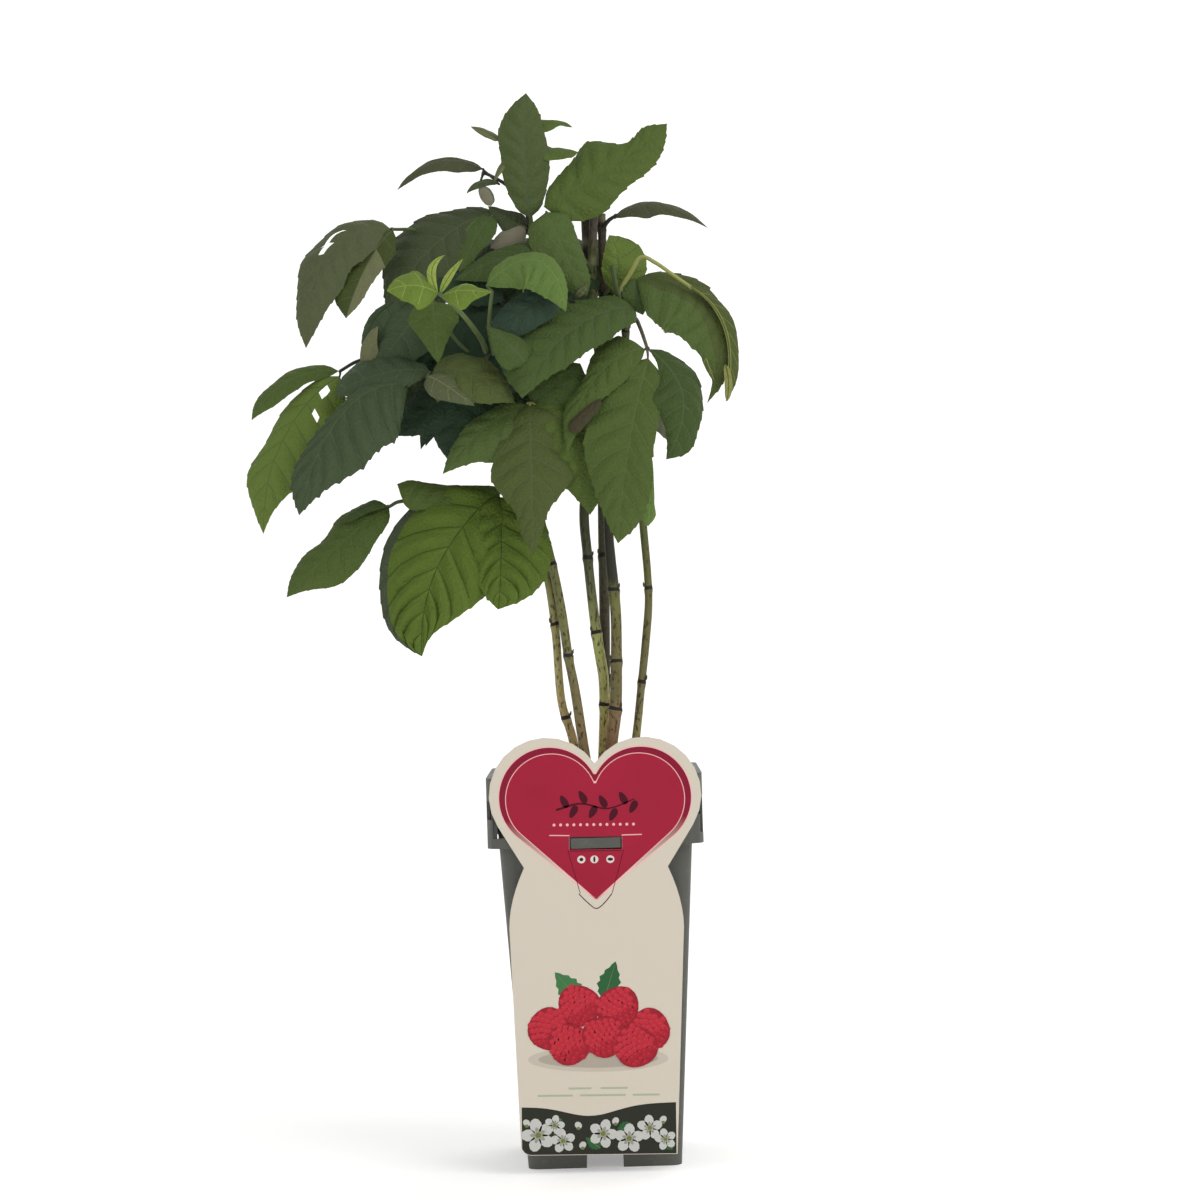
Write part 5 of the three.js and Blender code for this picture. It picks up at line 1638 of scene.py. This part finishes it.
class RASPBERRY_OT_stage(bpy.types.Operator):
    """Pale floor and backdrop, soft studio light and the camera"""

    bl_idname = "raspberry.stage"
    bl_label = "Stage"

    def execute(self, context):
        scene = context.scene
        scene.view_settings.view_transform = "Standard"
        axis = Vector((POT_X, POT_Y, 0)) * MM
        self.sweep()
        self.light(scene, axis)
        self.camera(scene, axis)
        return {"FINISHED"}

    def sweep(self):
        """Paper as a grid: its profile (out, up) carried along X."""
        shader("studio_paper", to_linear(PAPER)[:3], Roughness=0.9, Specular_IOR_Level=0.1,
               Emission_Color=(1, 1, 1, 1), Emission_Strength=PAPER_GLOW)
        bend = np.linspace(0, QUARTER_TURN, 14)
        out = np.concatenate([SWEEP_FLAT, 1.0 + np.sin(bend), [2.0]])
        up = np.concatenate([0 * np.array(SWEEP_FLAT), 1 - np.cos(bend), [SWEEP_HIGH]])
        x = np.linspace(-SWEEP_HALF, SWEEP_HALF, 9)
        points = [(a, b, c) for b, c in zip(out, up) for a in x]
        n = len(x)
        quads = [(i, i + 1, i + n + 1, i + n) for r in range(len(out) - 1)
                 for i in range(r * n, r * n + n - 1)]
        mesh = bpy.data.meshes.new("sweep")
        mesh.from_pydata(points, [], quads)
        finished(mesh, "studio_sweep", [MATERIALS["studio_paper"]], 60)

    def light(self, scene, axis):
        """An even white world and three soft area lamps."""
        world = bpy.data.worlds.new("studio")
        world.use_nodes = True
        sky = next(n for n in world.node_tree.nodes if n.type == "BACKGROUND")
        sky.inputs["Color"].default_value = (1, 1, 1, 1)
        sky.inputs["Strength"].default_value = SKY_STRENGTH
        scene.world = world
        for name, (where, size, power) in LAMPS.items():
            light = bpy.data.lights.new(name, "AREA")
            light.size = size
            light.energy = power
            lamp = bpy.data.objects.new(name, light)
            lamp.location = axis + Vector(where)
            aim = axis + Vector((0, 0, LAMP_AIM)) - lamp.location
            lamp.rotation_euler = aim.to_track_quat("-Z", "Y").to_euler()
            scene.collection.objects.link(lamp)

    def camera(self, scene, axis):
        """Straight in front at the height of the plant's middle, a little rolled."""
        data = bpy.data.cameras.new("camera")
        data.lens = LENS
        camera = bpy.data.objects.new("camera", data)
        c, s = math.cos(LEAN), math.sin(LEAN)
        turn = Matrix(((c, s, 0), (0, 0, -1), (-s, c, 0))).to_4x4()
        where = axis + Vector((CAMERA_ACROSS, -EYE_DISTANCE, CAMERA_UP)) * MM
        camera.matrix_world = Matrix.Translation(where) @ turn
        scene.collection.objects.link(camera)
        scene.camera = camera


# ---- panel and registration ----------------------------------------------------------


class RASPBERRY_PT_panel(bpy.types.Panel):
    """Lists the plant's settings and its pieces"""

    bl_idname = "RASPBERRY_PT_panel"
    bl_label = "Raspberry"
    bl_space_type = "VIEW_3D"
    bl_region_type = "UI"
    bl_category = "Raspberry"

    def draw(self, context):
        for group in (context.scene.raspberry_pot, context.scene.raspberry_foliage):
            for key in group.__annotations__:
                self.layout.prop(group, key)
        for operator in OPERATORS:
            self.layout.operator(operator.bl_idname)


GROUPS = (PotSettings, FoliageSettings)
OPERATORS = (
    RASPBERRY_OT_stage,
    RASPBERRY_OT_pot,
    RASPBERRY_OT_compost,
    RASPBERRY_OT_card,
    RASPBERRY_OT_canes,
    RASPBERRY_OT_front_leaves,
    RASPBERRY_OT_back_leaves,
    RASPBERRY_OT_inner_leaves,
)


def register():
    for item in (*GROUPS, *OPERATORS, RASPBERRY_PT_panel):
        bpy.utils.register_class(item)
    bpy.types.Scene.raspberry_pot = PointerProperty(type=PotSettings)
    bpy.types.Scene.raspberry_foliage = PointerProperty(type=FoliageSettings)


def unregister():
    del bpy.types.Scene.raspberry_foliage
    del bpy.types.Scene.raspberry_pot
    for item in (RASPBERRY_PT_panel, *OPERATORS[::-1], *GROUPS[::-1]):
        bpy.utils.unregister_class(item)


def main():
    """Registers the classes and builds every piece."""
    register()
    for operator in OPERATORS:
        group, name = operator.bl_idname.split(".")
        getattr(getattr(bpy.ops, group), name)()


if __name__ == "__main__":
    main()
